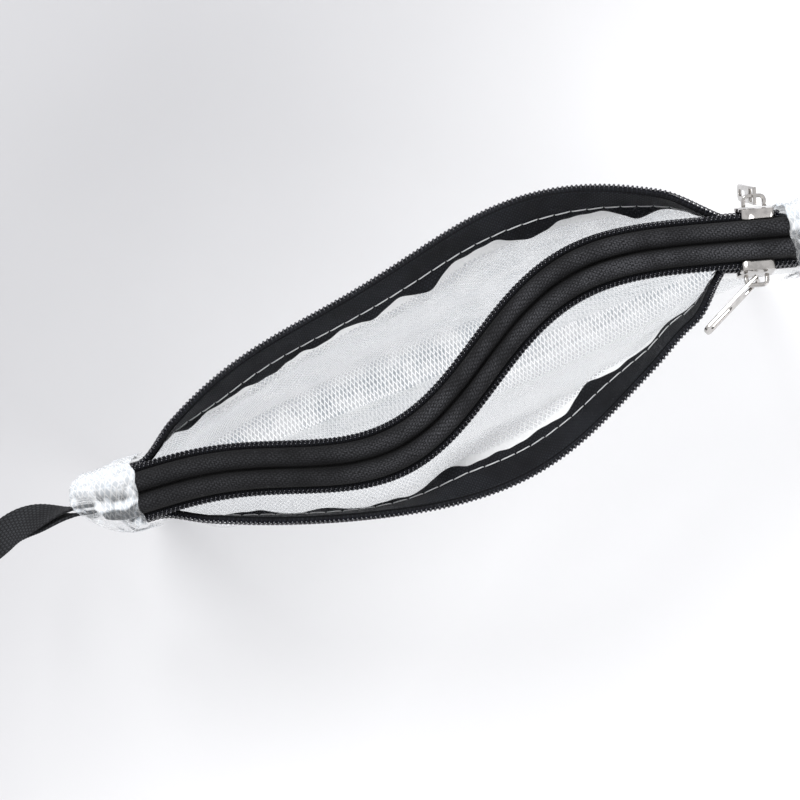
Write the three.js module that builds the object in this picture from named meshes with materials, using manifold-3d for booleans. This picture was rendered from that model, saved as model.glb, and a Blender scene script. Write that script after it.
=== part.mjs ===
// Zipper document pouch with two compartments, standing on its base with both mouths open.
// Millimetres, +Z up. +X runs along the zippers towards the end where the sliders are parked,
// +Y points to the back. The origin is in the middle of the base.
import * as THREE from 'three';
import { mergeVertices } from 'three/addons/utils/BufferGeometryUtils.js';
import Module from 'manifold-3d';

const wasm = await Module();
wasm.setup();

// Pouch body
const SEAM_WIDTH = 8; // flat welded band at each side
const ZIP_TO_SEAM = 7; // from a zipper's end to the flat band
const CHAIN_HEIGHT = 160; // middle of the closed chains above the base
const BASE_HALF_WIDTH = 17; // half of the flat base at mid length
const BASE_CORNER_RADIUS = 9; // where the base turns up into a wall
const WALL_FULLNESS = 8; // how far a wall swells beyond the base at mid length
const FILM = 0.6; // net-reinforced film
const DIVIDER_WELD = 8; // divider's foot, straight where it is welded in
const DIVIDER_DROP = 13; // its top edge is this much lower in the side seams
const GAP = 0.32; // clearance between neighbouring layers

// Zippers
const ZIP_LENGTH = 238; // tape, end to end
const TAPE_WIDTH = 14;
const TAPE = 0.7;
const CHAIN_SPREAD = 7.2; // each closed chain's distance from the middle plane
const CHAIN_TILT = 80; // degrees, how far a closed chain faces outwards
const ELEMENT_PITCH = 1.5;
const ELEMENT_TIP = 1.3; // an element's reach past the tape's edge
const ELEMENT_VALLEY = 0.1; // the coil's edge between two elements
const ELEMENT_ROOT = 2; // and back over the tape
const ELEMENT_THICKNESS = 1.8;
const COIL_CLEARANCE = 0.4; // between a coil and its tape
const MESH_CLEARANCE = 0.6; // between the interlocked coils of a closed chain
const COIL_END = 4; // tape without coil at both ends
const STITCH_DISTANCE = 9.5; // from the tape's coil edge to the seam on the film
const PANEL_LAP = 2.5; // film above that seam

// The open mouths: sine terms of each lip's distance from its place in the closed zipper
const MOUTH_FROM_END = 9; // closed stretch between a zipper's end and its mouth, at the left
const MOUTH_BLEND = 16; // length over which an outer lip leaves the divider's
const TURN_FROM = 1; // a lip this far from the divider's lip begins to turn over
const TURN_FULL = 24; // and is fully turned here
const BACK_LIP = [33.5, -4.9, 3.5, 1.1];
const FRONT_LIP = [-31, -3.2, 2.7, -1.3];
const DIVIDER_WAVE = [-3.3, -13.6, 3.7, 3.4];
const LIP_ROLL = -46; // degrees, an open lip's tape leans inwards below its coil
const LIP_RISE = 3; // an open lip stands this much higher than the closed chain

// Sliders and pulls
const BACK_SLIDER_FROM_END = 12; // from a zipper's end to the middle of its parked slider
const FRONT_SLIDER_FROM_END = 17;
const SLIDER_TRAVEL = 4; // straight stretch in front of a parked slider
const SLIDER_LENGTH = 11.5;
const SLIDER_WALL = 0.75;
const SLIDER_PLATE = 1;
const SLIDER_FLARE = 0.5; // its front is this much wider on each side
const POST_HALF_WIDTH = 0.45;
const POST_BACK = 3; // from the slider's middle to its post
const BRIDGE_LENGTH = 8;
const BRIDGE_HEIGHT = 4.2;
const BRIDGE_WIDTH = 2;
const BRIDGE_BAR = 1.2;
const PULL_LENGTH = 24;
const PULL_WIDTH = 5.6;
const PULL_THICKNESS = 1.1;
const EYE_LENGTH = 7.2;
const EYE_PLAY = 1.15; // between a bridge and the sides of the eye
const EYE_WALL = 0.7;
const FRONT_PULL_REST = 41; // degrees off its slider, beside the open lip
const FRONT_PULL_DROOP = 10; // and down
const FRONT_PULL_ROLL = 18; // and about its own length

// End caps, side bindings and wrist strap
const LEFT_CAP_LAP = 7; // how far a cap reaches over the zippers' ends
const RIGHT_CAP_LAP = 4.6;
const CAP_CLEARANCE = 0.8; // over the coils
const CAP_SKIRT = 22; // from the chain down to a cap's lower edge
const CAP_DROP = 9; // a cap's crest falls this much towards its nose
const STRAP_WIDTH = 10;
const STRAP = 1.2;
const STRAP_LAYERS_APART = 1;
const STRAP_BELOW_CHAIN = 7; // middle of its sewn ends
const STRAP_TAIL = 4; // its sewn ends inside the cap
const STRAP_LEAD = 26; // from the side seam to where the loop bends down
const STRAP_HINGE_Y = 4; // it also swings this far to the back by then
const STRAP_ROUTE = [[-16, 0], [-15, -26], [-9, -92]]; // the free loop, along X and Z

const HALF_ZIP = ZIP_LENGTH / 2;
const SEAM_START = HALF_ZIP + ZIP_TO_SEAM;
const HALF = SEAM_START + SEAM_WIDTH;
const MOUTH_LENGTH = ZIP_LENGTH - MOUTH_FROM_END * 2;
const STRAP_HEIGHT = CHAIN_HEIGHT - STRAP_BELOW_CHAIN;
const radians = THREE.MathUtils.degToRad;
const smooth = THREE.MathUtils.smoothstep;
const lerp = THREE.MathUtils.lerp;

const BACK = 1;
const FRONT = -1;
const SLIDER_X = {
  [BACK]: HALF_ZIP - BACK_SLIDER_FROM_END,
  [FRONT]: HALF_ZIP - FRONT_SLIDER_FROM_END,
};

// Middle surfaces of neighbouring layers, measured across them
const TAPE_TO_FILM = TAPE / 2 + GAP + FILM / 2;
const FILM_TO_FILM = FILM + GAP;
const GROOVE = FILM / 2 + GAP + TAPE / 2; // inner tape beside the divider
const EDGE_TO_CHAIN = (ELEMENT_TIP + ELEMENT_VALLEY + MESH_CLEARANCE) / 2; // from a tape's edge
const THROAT_SPREAD = POST_HALF_WIDTH + GAP + ELEMENT_TIP - EDGE_TO_CHAIN; // at a slider's post
const CHANNEL_HALF = EDGE_TO_CHAIN + THROAT_SPREAD + ELEMENT_ROOT + GAP;
const SLIDER_HALF = CHANNEL_HALF + SLIDER_WALL;

const blackTape = new THREE.MeshStandardMaterial({ color: 0x17181b, roughness: 0.85 });
const blackCoil = new THREE.MeshStandardMaterial({ color: 0x0e0f14, roughness: 0.35 });
const netFilm = new THREE.MeshStandardMaterial({
  color: 0xeef3f7, roughness: 0.25, transparent: true, opacity: 0.45,
});
const clearFilm = new THREE.MeshStandardMaterial({
  color: 0xe6edf2, roughness: 0.15, transparent: true, opacity: 0.4,
});
const nickel = new THREE.MeshStandardMaterial({ color: 0xb9b4ac, roughness: 0.25, metalness: 1 });
const webbing = new THREE.MeshStandardMaterial({ color: 0x1b1a1c, roughness: 0.9 });

// How the mouths open along X

function mouthEnd(side) {
  return SLIDER_X[side] - SLIDER_TRAVEL - SLIDER_LENGTH / 2 - GAP;
}

// 0 on the closed stubs, 1 in the open mouth
function openness(x, end) {
  const t = THREE.MathUtils.clamp(Math.min(end - x, x + MOUTH_LENGTH / 2) / MOUTH_BLEND, 0, 1);
  return t * (2 - t);
}

function waveAt(x, terms) {
  const u = x / MOUTH_LENGTH + 0.5;
  return terms.reduce((total, a, k) => total + a * Math.sin(Math.PI * (k + 1) * u), 0);
}

const LAST_MOUTH_END = Math.min(mouthEnd(BACK), mouthEnd(FRONT));

// The divider's wave runs straight on past the mouths, through the sliders to the zippers' ends
function dividerWave(x) {
  const at = THREE.MathUtils.clamp(x, -MOUTH_LENGTH / 2, LAST_MOUTH_END);
  const step = 0.01;
  const slope = (waveAt(at + step, DIVIDER_WAVE) - waveAt(at - step, DIVIDER_WAVE)) / (2 * step);
  return waveAt(at, DIVIDER_WAVE) + slope * (x - at);
}

const SLIDER_YAW = Math.atan(dividerWave(LAST_MOUTH_END + 1) - dividerWave(LAST_MOUTH_END));

function lipWave(x, side) {
  const lip = waveAt(x, side === BACK ? BACK_LIP : FRONT_LIP);
  return lerp(dividerWave(x), lip, openness(x, mouthEnd(side)));
}

// A slider's post holds the coils apart up to here
function throatAt(x, side) {
  const post = SLIDER_X[side] - POST_BACK + 1.8;
  return THROAT_SPREAD * (1 - smooth(x, post, post + 4.2));
}

// Past the zippers the film closes to the flat side seams
function taperToSeam(x) {
  return 1 - smooth(Math.abs(x), HALF_ZIP, SEAM_START);
}

// Sideways shift of what lies between the zippers, gone where the side seams are flat
function shiftAt(x) {
  return dividerWave(THREE.MathUtils.clamp(x, -HALF_ZIP, HALF_ZIP)) * taperToSeam(x);
}

// A point across a closed chain: s towards the inner tape, n out of the chain's face
function onChain(side, s, n = 0) {
  const tilt = radians(CHAIN_TILT);
  return {
    y: side * (CHAIN_SPREAD - s * Math.cos(tilt) + n * Math.sin(tilt)),
    z: CHAIN_HEIGHT + s * Math.sin(tilt) + n * Math.cos(tilt),
  };
}

// An outer tape turns over as its lip is drawn away from the divider's
function turnAt(x, side) {
  return smooth(side * (lipWave(x, side) - dividerWave(x)), TURN_FROM, TURN_FULL);
}

// Outer tape: its coil edge, its direction down across the tape and its outward normal
function outerTapeFrame(x, side) {
  const turn = turnAt(x, side);
  const edge = onChain(side, -EDGE_TO_CHAIN - throatAt(x, side));
  const roll = radians(lerp(90 - CHAIN_TILT, LIP_ROLL, turn));
  return {
    y: edge.y + lipWave(x, side),
    z: edge.z + LIP_RISE * turn,
    down: { y: side * Math.sin(roll), z: -Math.cos(roll) },
    out: { y: side * Math.cos(roll), z: Math.sin(roll) },
  };
}

function innerTapeFrame(x, side) {
  const tilt = radians(CHAIN_TILT);
  const edge = onChain(side, EDGE_TO_CHAIN + throatAt(x, side));
  return {
    y: edge.y + dividerWave(x),
    z: edge.z,
    down: { y: -side * Math.cos(tilt), z: Math.sin(tilt) },
    out: { y: side * Math.sin(tilt), z: Math.cos(tilt) },
  };
}

function across(frame, s, n = 0) {
  return {
    y: frame.y + s * frame.down.y + n * frame.out.y,
    z: frame.z + s * frame.down.z + n * frame.out.z,
  };
}

// Inner tapes run straight past the sliders, then arch over into the groove at the divider
const ARCH_START = onChain(BACK, SLIDER_HALF + SLIDER_FLARE + GAP);
const ARCH_RADIUS = (ARCH_START.y - GROOVE) / (1 + Math.sin(radians(CHAIN_TILT)));
const ARCH_MIDDLE = {
  y: GROOVE + ARCH_RADIUS,
  z: ARCH_START.z - ARCH_RADIUS * Math.cos(radians(CHAIN_TILT)),
};
const GROOVE_FOOT = ARCH_MIDDLE.z - STITCH_DISTANCE;
const DIVIDER_TOP = ARCH_MIDDLE.z - 1.5;

function onArch(side, angle, extra = 0) {
  return {
    y: side * (ARCH_MIDDLE.y + (ARCH_RADIUS + extra) * Math.cos(radians(angle))),
    z: ARCH_MIDDLE.z + (ARCH_RADIUS + extra) * Math.sin(radians(angle)),
  };
}

function innerTapeProfile(x, side) {
  const frame = innerTapeFrame(x, side);
  const shift = dividerWave(x);
  const bends = [90 - CHAIN_TILT, 66, 123, 180].map((angle) => onArch(side, angle));
  const leg = [...bends, { y: side * GROOVE, z: GROOVE_FOOT }];
  return [across(frame, 0), ...leg.map((p) => ({ y: p.y + shift, z: p.z }))];
}

// Solids whose sections all lie in planes of constant X

function sectionLoft(stations, sectionAt) {
  return ringLoft(stations.map((x) => sectionAt(x).map((p) => [x, p.y, p.z])));
}

function ringLoft(rings, closed = false) {
  const count = rings[0].length;
  const index = [];
  const bays = closed ? rings.length : rings.length - 1;
  for (let i = 0; i < bays; i += 1) {
    const next = i + 1 < rings.length ? count : -i * count;
    for (let j = 0; j < count; j += 1) {
      const a = i * count + j;
      const b = i * count + ((j + 1) % count);
      // Both faces of a sheet are cut along the same diagonals, so that it keeps its thickness
      const split = j < count / 2 ? [a, b, a + next, b, b + next, a + next]
        : [a, b, b + next, a, b + next, a + next];
      index.push(...split);
    }
  }
  const last = (rings.length - 1) * count;
  let near = 0;
  let far = closed ? 0 : count - 1;
  while (far - near > 1) {
    index.push(near, far, near + 1, last + near, last + near + 1, last + far);
    near += 1;
    if (far - near > 1) {
      index.push(near, far, far - 1, last + near, last + far - 1, last + far);
      far -= 1;
    }
  }
  return closedGeometry(rings.flat(2), index);
}

function closedGeometry(positions, index) {
  const geometry = new THREE.BufferGeometry();
  geometry.setAttribute('position', new THREE.Float32BufferAttribute(positions, 3));
  geometry.setIndex(index);
  if (signedVolume(geometry) < 0) {
    for (let i = 0; i < index.length; i += 3) {
      [index[i], index[i + 1]] = [index[i + 1], index[i]];
    }
    geometry.setIndex(index);
  }
  geometry.computeVertexNormals();
  return geometry;
}

function signedVolume(geometry) {
  const p = geometry.getAttribute('position');
  const index = geometry.getIndex();
  const [a, b, c] = [new THREE.Vector3(), new THREE.Vector3(), new THREE.Vector3()];
  let volume = 0;
  for (let i = 0; i < index.count; i += 3) {
    a.fromBufferAttribute(p, index.getX(i));
    b.fromBufferAttribute(p, index.getX(i + 1));
    c.fromBufferAttribute(p, index.getX(i + 2));
    volume += a.dot(b.cross(c)) / 6;
  }
  return volume;
}

// Moves a section's line sideways, corner by corner
function offsetLine(line, distance) {
  return line.map((p, i) => {
    const before = line[Math.max(i - 1, 0)];
    const after = line[Math.min(i + 1, line.length - 1)];
    const share = distance / Math.hypot(after.y - before.y, after.z - before.z);
    return { y: p.y - share * (after.z - before.z), z: p.z + share * (after.y - before.y) };
  });
}

function thicken(line, thickness) {
  return [...offsetLine(line, thickness / 2), ...offsetLine(line, -thickness / 2).reverse()];
}

function evenSteps(from, to, count) {
  return Array.from({ length: count + 1 }, (_, i) => lerp(from, to, i / count));
}

// The same stations serve every sheet, so layers that touch stay parallel
const ZIP_STATIONS = [
  -HALF_ZIP,
  ...evenSteps(-MOUTH_LENGTH / 2, -MOUTH_LENGTH / 2 + MOUTH_BLEND, 3),
  ...evenSteps(-MOUTH_LENGTH / 2 + MOUTH_BLEND, LAST_MOUTH_END - MOUTH_BLEND, 14).slice(1, -1),
  ...evenSteps(LAST_MOUTH_END - MOUTH_BLEND, mouthEnd(BACK), 5),
  ...evenSteps(mouthEnd(BACK), SLIDER_X[BACK] + 4, 4).slice(1),
  HALF_ZIP,
];
const END_STATIONS = [
  lerp(HALF_ZIP, SEAM_START, 0.3),
  lerp(HALF_ZIP, SEAM_START, 0.65),
  SEAM_START,
  HALF,
];
const SHEET_STATIONS = [...END_STATIONS.map((x) => -x).reverse(), ...ZIP_STATIONS, ...END_STATIONS];

// Where tape and film corners lie across a tape, so that the two stay parallel
const FILM_TOP = STITCH_DISTANCE - PANEL_LAP;
const FILM_ON_TAPE = [FILM_TOP, TAPE_WIDTH, TAPE_WIDTH + 1];

// Half of the outer film's section: from the fold under the base up to its lap on a tape
function filmProfile(x, side) {
  const zipX = THREE.MathUtils.clamp(x, -HALF_ZIP, HALF_ZIP);
  const frame = outerTapeFrame(zipX, side);
  const full = taperToSeam(x);
  const reach = Math.min(1, Math.abs(x) / SEAM_START);
  const base = Math.max(FILM_TO_FILM, BASE_HALF_WIDTH * Math.sqrt(1 - reach * reach));
  const corner = Math.min(BASE_CORNER_RADIUS, base * 0.85);
  const bottom = FILM / 2;
  const [top, tapeEnd, lap] = FILM_ON_TAPE.map((s) => across(frame, s, TAPE_TO_FILM));
  const swell = WALL_FULLNESS * turnAt(zipX, side);
  const wall = new THREE.CubicBezierCurve(
    new THREE.Vector2(side * base, bottom + corner),
    new THREE.Vector2(side * (base + swell), CHAIN_HEIGHT * 0.55),
    new THREE.Vector2(lap.y + 12 * frame.down.y, lap.z + 12 * frame.down.z),
    new THREE.Vector2(lap.y, lap.z),
  );
  const wallLine = [0.25, 0.5, 0.75].map((t) => wall.getPoint(t)).map((p) => ({ y: p.x, z: p.y }));
  const upper = [...wallLine, lap, tapeEnd, top];
  return [
    { y: side * Math.max(base - corner, FILM_TO_FILM * 0.15), z: bottom },
    { y: side * (base - corner * 0.29), z: bottom + corner * 0.29 },
    { y: side * base, z: bottom + corner },
    ...upper.map((p) => ({ y: lerp(side * FILM_TO_FILM, p.y, full), z: p.z })),
  ];
}

function outerFilm() {
  return sectionLoft(SHEET_STATIONS, (x) => {
    const line = [...filmProfile(x, FRONT).reverse(), ...filmProfile(x, BACK)];
    return thicken(line, FILM);
  });
}

function dividerPanel() {
  const foot = FILM_TO_FILM;
  const free = foot + DIVIDER_WELD;
  return sectionLoft(SHEET_STATIONS, (x) => {
    const top = DIVIDER_TOP - DIVIDER_DROP * (1 - taperToSeam(x));
    const waist = Math.min(GROOVE_FOOT, top - 1);
    return thicken([foot, free, lerp(free, waist, 0.5), waist, top].map((z) => ({
      y: shiftAt(x) * THREE.MathUtils.clamp((z - free) / (GROOVE_FOOT - free), 0, 1),
      z,
    })), FILM);
  });
}

const group = new THREE.Group();

function addPiece(name, geometry, material) {
  const mesh = new THREE.Mesh(geometry, material);
  mesh.name = name;
  group.add(mesh);
  return mesh;
}

addPiece('outer_film', outerFilm(), netFilm);
addPiece('divider_film', dividerPanel(), netFilm);

function outerTape(side) {
  const corners = [0, ...FILM_ON_TAPE.slice(0, 2)];
  return sectionLoft(ZIP_STATIONS, (x) => {
    const line = corners.map((s) => across(outerTapeFrame(x, side), s));
    return thicken(side === FRONT ? line : line.reverse(), TAPE);
  });
}

function innerTape(side) {
  return sectionLoft(ZIP_STATIONS, (x) => thicken(innerTapeProfile(x, side), TAPE));
}

// A frame between two stations, so that what lies on a tape follows the tape's own facets
function betweenStations(frameAt, x) {
  const i = Math.max(1, ZIP_STATIONS.findIndex((station) => station >= x));
  const [from, to] = [ZIP_STATIONS[i - 1], ZIP_STATIONS[i]];
  const [a, b] = [frameAt(from), frameAt(to)];
  const t = (x - from) / (to - from);
  const mix = (p, q) => ({ y: lerp(p.y, q.y, t), z: lerp(p.z, q.z, t) });
  return { ...mix(a, b), down: mix(a.down, b.down), out: mix(a.out, b.out) };
}

// A coil: a wedge whose tip runs out and in once for each element
function coil(frameAt, phase) {
  const low = TAPE / 2 + COIL_CLEARANCE;
  const elements = Math.floor((ZIP_LENGTH - COIL_END * 2) / ELEMENT_PITCH);
  const length = elements * ELEMENT_PITCH;
  return ringLoft(evenSteps(-length / 2, length / 2, elements * 2).map((x, i) => {
    const frame = betweenStations(frameAt, x);
    const reach = i % 2 === phase ? ELEMENT_TIP : ELEMENT_VALLEY;
    return [
      across(frame, -reach, low + ELEMENT_THICKNESS / 2),
      across(frame, ELEMENT_ROOT, low + ELEMENT_THICKNESS),
      across(frame, ELEMENT_ROOT, low),
    ].map((p) => [x, p.y, p.z]);
  }));
}

for (const [name, side] of [['front', FRONT], ['back', BACK]]) {
  addPiece(`${name}_outer_tape`, outerTape(side), blackTape);
  addPiece(`${name}_inner_tape`, innerTape(side), blackTape);
  addPiece(`${name}_outer_coil`, coil((x) => outerTapeFrame(x, side), 0), blackCoil);
  addPiece(`${name}_inner_coil`, coil((x) => innerTapeFrame(x, side), 1), blackCoil);
}

// Solid modelling of the hard parts

function toManifold(geometry) {
  const bare = geometry.clone();
  bare.deleteAttribute('normal');
  bare.deleteAttribute('uv');
  const merged = mergeVertices(bare, 1e-5);
  return new wasm.Manifold(new wasm.Mesh({
    numProp: 3,
    vertProperties: new Float32Array(merged.getAttribute('position').array),
    triVerts: new Uint32Array(merged.getIndex().array),
  }));
}

function toGeometry(manifold) {
  const mesh = manifold.getMesh();
  const geometry = new THREE.BufferGeometry();
  geometry.setAttribute('position', new THREE.BufferAttribute(mesh.vertProperties, 3));
  geometry.setIndex(new THREE.BufferAttribute(mesh.triVerts, 1));
  geometry.computeVertexNormals();
  return geometry;
}

function extruded(shape, height, at, curveSegments = 5) {
  const geometry = new THREE.ExtrudeGeometry(shape, { depth: height, bevelEnabled: false, curveSegments });
  geometry.translate(at[0], at[1], at[2]);
  return toManifold(geometry);
}

function box(size, centre) {
  const geometry = new THREE.BoxGeometry(...size);
  geometry.translate(...centre);
  return toManifold(geometry);
}

// Slider in its own frame: x towards the closed chain, z out of the chain's face
const CHANNEL_TOP = TAPE / 2 + COIL_CLEARANCE + ELEMENT_THICKNESS + GAP;
const CHANNEL_BOTTOM = -TAPE / 2 - GAP;
const PLATE_TOP = CHANNEL_TOP + SLIDER_PLATE;

function sliderOutline() {
  const rear = SLIDER_HALF;
  const front = SLIDER_HALF + SLIDER_FLARE;
  const tip = SLIDER_LENGTH / 2;
  const half = new THREE.Path();
  half.moveTo(tip, 0);
  half.lineTo(tip, rear - 1.6);
  half.quadraticCurveTo(tip, rear, tip - 1.6, rear);
  half.lineTo(0, rear);
  half.quadraticCurveTo(-tip * 0.3, rear, -tip * 0.5, front);
  half.quadraticCurveTo(-tip, front, -tip, front * 0.5);
  half.quadraticCurveTo(-tip * 0.95, 1, -tip * 0.78, 0);
  const points = half.getPoints(4).slice(1, -1);
  const mirrored = points.map((p) => new THREE.Vector2(p.x, -p.y)).reverse();
  return new THREE.Shape([half.getPoint(0), ...points, half.getPoint(1), ...mirrored]);
}

function sliderBody() {
  const wallFoot = TAPE / 2 + GAP;
  const shell = extruded(sliderOutline(), PLATE_TOP - wallFoot, [0, 0, wallFoot]);
  const front = CHANNEL_HALF + SLIDER_FLARE;
  const channel = new THREE.Shape();
  channel.moveTo(SLIDER_LENGTH, -CHANNEL_HALF);
  channel.lineTo(SLIDER_LENGTH, CHANNEL_HALF);
  channel.lineTo(0, CHANNEL_HALF);
  channel.lineTo(-SLIDER_LENGTH * 0.3, front);
  channel.lineTo(-SLIDER_LENGTH, front);
  channel.lineTo(-SLIDER_LENGTH, -front);
  channel.lineTo(-SLIDER_LENGTH * 0.3, -front);
  channel.lineTo(0, -CHANNEL_HALF);
  const hollow = extruded(channel, CHANNEL_TOP - wallFoot + 1, [0, 0, wallFoot - 1]);
  const lower = extruded(sliderOutline(), SLIDER_PLATE, [0, 0, CHANNEL_BOTTOM - SLIDER_PLATE]);
  const post = new THREE.Shape();
  post.moveTo(-POST_BACK - 1.4, 0);
  post.lineTo(-POST_BACK, -POST_HALF_WIDTH);
  post.lineTo(-POST_BACK + 1.6, 0);
  post.lineTo(-POST_BACK, POST_HALF_WIDTH);
  const postHeight = CHANNEL_TOP - CHANNEL_BOTTOM + SLIDER_PLATE;
  return shell.subtract(hollow).add(lower)
    .add(extruded(post, postHeight, [0, 0, CHANNEL_BOTTOM - SLIDER_PLATE / 2]));
}

// Bridge: a low arch along the slider with two feet, open underneath for the pull's eye
function sliderBridge() {
  const base = PLATE_TOP + GAP;
  const half = BRIDGE_LENGTH / 2;
  const arch = new THREE.Shape();
  arch.moveTo(-half, 0);
  arch.lineTo(-half, BRIDGE_HEIGHT * 0.45);
  arch.quadraticCurveTo(-half, BRIDGE_HEIGHT, -half * 0.35, BRIDGE_HEIGHT);
  arch.lineTo(half * 0.4, BRIDGE_HEIGHT);
  arch.quadraticCurveTo(half, BRIDGE_HEIGHT, half, BRIDGE_HEIGHT * 0.35);
  arch.lineTo(half, 0);
  arch.lineTo(half - BRIDGE_BAR, 0);
  arch.lineTo(half - BRIDGE_BAR, BRIDGE_HEIGHT * 0.35);
  arch.quadraticCurveTo(half - BRIDGE_BAR, BRIDGE_HEIGHT - BRIDGE_BAR, half * 0.4, BRIDGE_HEIGHT - BRIDGE_BAR);
  arch.lineTo(-half * 0.35, BRIDGE_HEIGHT - BRIDGE_BAR);
  arch.quadraticCurveTo(
    -half + BRIDGE_BAR, BRIDGE_HEIGHT - BRIDGE_BAR, -half + BRIDGE_BAR, BRIDGE_HEIGHT * 0.45,
  );
  arch.lineTo(-half + BRIDGE_BAR, 0);
  const geometry = new THREE.ExtrudeGeometry(arch, { depth: BRIDGE_WIDTH, bevelEnabled: false, curveSegments: 6 });
  geometry.translate(0, 0, -BRIDGE_WIDTH / 2);
  geometry.rotateX(Math.PI / 2);
  geometry.translate(0, 0, base);
  return toManifold(geometry);
}

const PIVOT_RISE = PLATE_TOP + GAP + (BRIDGE_HEIGHT - BRIDGE_BAR) * 0.55;

// Pull in its own frame: its eye turns about y at the origin, and its tab points along +x
function pullTab() {
  const half = PULL_WIDTH / 2;
  const inner = BRIDGE_WIDTH / 2 + EYE_PLAY;
  const outer = inner + EYE_WALL;
  const eye = new THREE.Shape();
  eye.moveTo(-PULL_THICKNESS / 2, -outer);
  eye.lineTo(EYE_LENGTH, -outer);
  eye.lineTo(EYE_LENGTH + 1.2, -half);
  eye.lineTo(PULL_LENGTH - 2, -half);
  eye.quadraticCurveTo(PULL_LENGTH, -half, PULL_LENGTH, 0);
  eye.quadraticCurveTo(PULL_LENGTH, half, PULL_LENGTH - 2, half);
  eye.lineTo(EYE_LENGTH + 1.2, half);
  eye.lineTo(EYE_LENGTH, outer);
  eye.lineTo(-PULL_THICKNESS / 2, outer);
  const window = new THREE.Path();
  window.moveTo(PULL_THICKNESS / 2, -inner);
  window.lineTo(PULL_THICKNESS / 2, inner);
  window.lineTo(EYE_LENGTH - 1.2, inner);
  window.lineTo(EYE_LENGTH - 1.2, -inner);
  eye.holes.push(window);
  const slot = new THREE.Path();
  const slotHalf = PULL_WIDTH * 0.2;
  slot.absarc(PULL_LENGTH - 3.4, 0, slotHalf, -Math.PI / 2, Math.PI / 2, false);
  slot.absarc(EYE_LENGTH + 6, 0, slotHalf, Math.PI / 2, -Math.PI / 2, false);
  eye.holes.push(slot);
  return extruded(eye, PULL_THICKNESS, [0, 0, -PULL_THICKNESS / 2], 4);
}

const SLIDER_BODY = toGeometry(sliderBody());
const SLIDER_BRIDGE = toGeometry(sliderBridge());
const PULL_TAB = toGeometry(pullTab());

// The frame of a slider on its chain, which slants there as the divider's wave does
function chainFrame(side) {
  const middle = onChain(side, 0);
  const x = SLIDER_X[side];
  const tilt = new THREE.Euler(-side * radians(CHAIN_TILT), 0, SLIDER_YAW, 'ZYX');
  return new THREE.Matrix4().makeRotationFromEuler(tilt)
    .setPosition(x, middle.y + dividerWave(x), middle.z);
}

// The back pull hangs down from the bar of its bridge, its eye round the bar
function hangingPull() {
  const hold = PULL_THICKNESS / 2 + GAP + BRIDGE_WIDTH / 2;
  const bar = PLATE_TOP + GAP + BRIDGE_HEIGHT - BRIDGE_BAR / 2;
  return new THREE.Matrix4().makeBasis(
    new THREE.Vector3(0, 1, 0),
    new THREE.Vector3(0, 0, 1),
    new THREE.Vector3(1, 0, 0),
  ).setPosition(0, -hold, bar);
}

// The front pull leans out of its bridge, a little down and turned about its length
function leaningPull() {
  const lean = new THREE.Matrix4().makeRotationY(radians(FRONT_PULL_REST) - Math.PI);
  const droop = new THREE.Matrix4().makeRotationZ(-radians(FRONT_PULL_DROOP));
  const roll = new THREE.Matrix4().makeRotationX(radians(FRONT_PULL_ROLL));
  return lean.multiply(droop).multiply(roll).setPosition(0, 0, PIVOT_RISE);
}

for (const [name, side] of [['front', FRONT], ['back', BACK]]) {
  const chain = chainFrame(side);
  addPiece(`${name}_slider_body`, SLIDER_BODY, nickel).applyMatrix4(chain);
  addPiece(`${name}_slider_bridge`, SLIDER_BRIDGE, nickel).applyMatrix4(chain);
  addPiece(`${name}_pull_tab`, PULL_TAB, nickel)
    .applyMatrix4(chain.clone().multiply(side === BACK ? hangingPull() : leaningPull()));
}

// Wrist strap: two layers of one webbing loop. Its upright sewn ends turn level outside the cap,
// and the free loop hangs from there, on a hinge across the webbing.
const LAYER_OFFSET = (STRAP + STRAP_LAYERS_APART) / 2;
const LOOP_THICKNESS = STRAP * 2 + STRAP_LAYERS_APART;
const STRAP_EXIT = new THREE.Vector3(
  -HALF,
  -(FILM_TO_FILM + FILM / 2 + GAP + LOOP_THICKNESS / 2),
  STRAP_HEIGHT,
);
const STRAP_HINGE = new THREE.Vector3(-HALF - STRAP_LEAD, STRAP_HINGE_Y, STRAP_HEIGHT);

// The webbing at a point of its route: across it, along it, and up out of it
function webbingAxes({ tangent, turn }) {
  const level = new THREE.Vector3(0, 1, 0);
  const width = level.addScaledVector(tangent, -level.dot(tangent)).normalize();
  width.applyAxisAngle(tangent, turn);
  return { width, normal: width.clone().cross(tangent) };
}

function webbingCorners(point, width, normal, offset) {
  const corner = (w, t) => point.clone().addScaledVector(width, (w * STRAP_WIDTH) / 2)
    .addScaledVector(normal, offset + (t * STRAP) / 2).toArray();
  return [corner(-1, -1), corner(1, -1), corner(1, 1), corner(-1, 1)];
}

// layer is 1 for the upper layer and -1 for the lower
function webbingRing(station, layer) {
  const { width, normal } = webbingAxes(station);
  return webbingCorners(station.point, width, normal, layer * LAYER_OFFSET);
}

// Half a turn from the upper layer to the lower, round an end of the stretch
function webbingFold(station, towards) {
  const { width, normal } = webbingAxes(station);
  return [36, 72, 108, 144].map(radians).map((angle) => {
    const out = normal.clone().multiplyScalar(Math.cos(angle))
      .addScaledVector(station.tangent, towards * Math.sin(angle));
    return webbingCorners(station.point, width, out, LAYER_OFFSET);
  });
}

// Flips a ring's order across its thickness, where the webbing comes back underneath
function underneath(ring) {
  return [ring[3], ring[2], ring[1], ring[0]];
}

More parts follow.
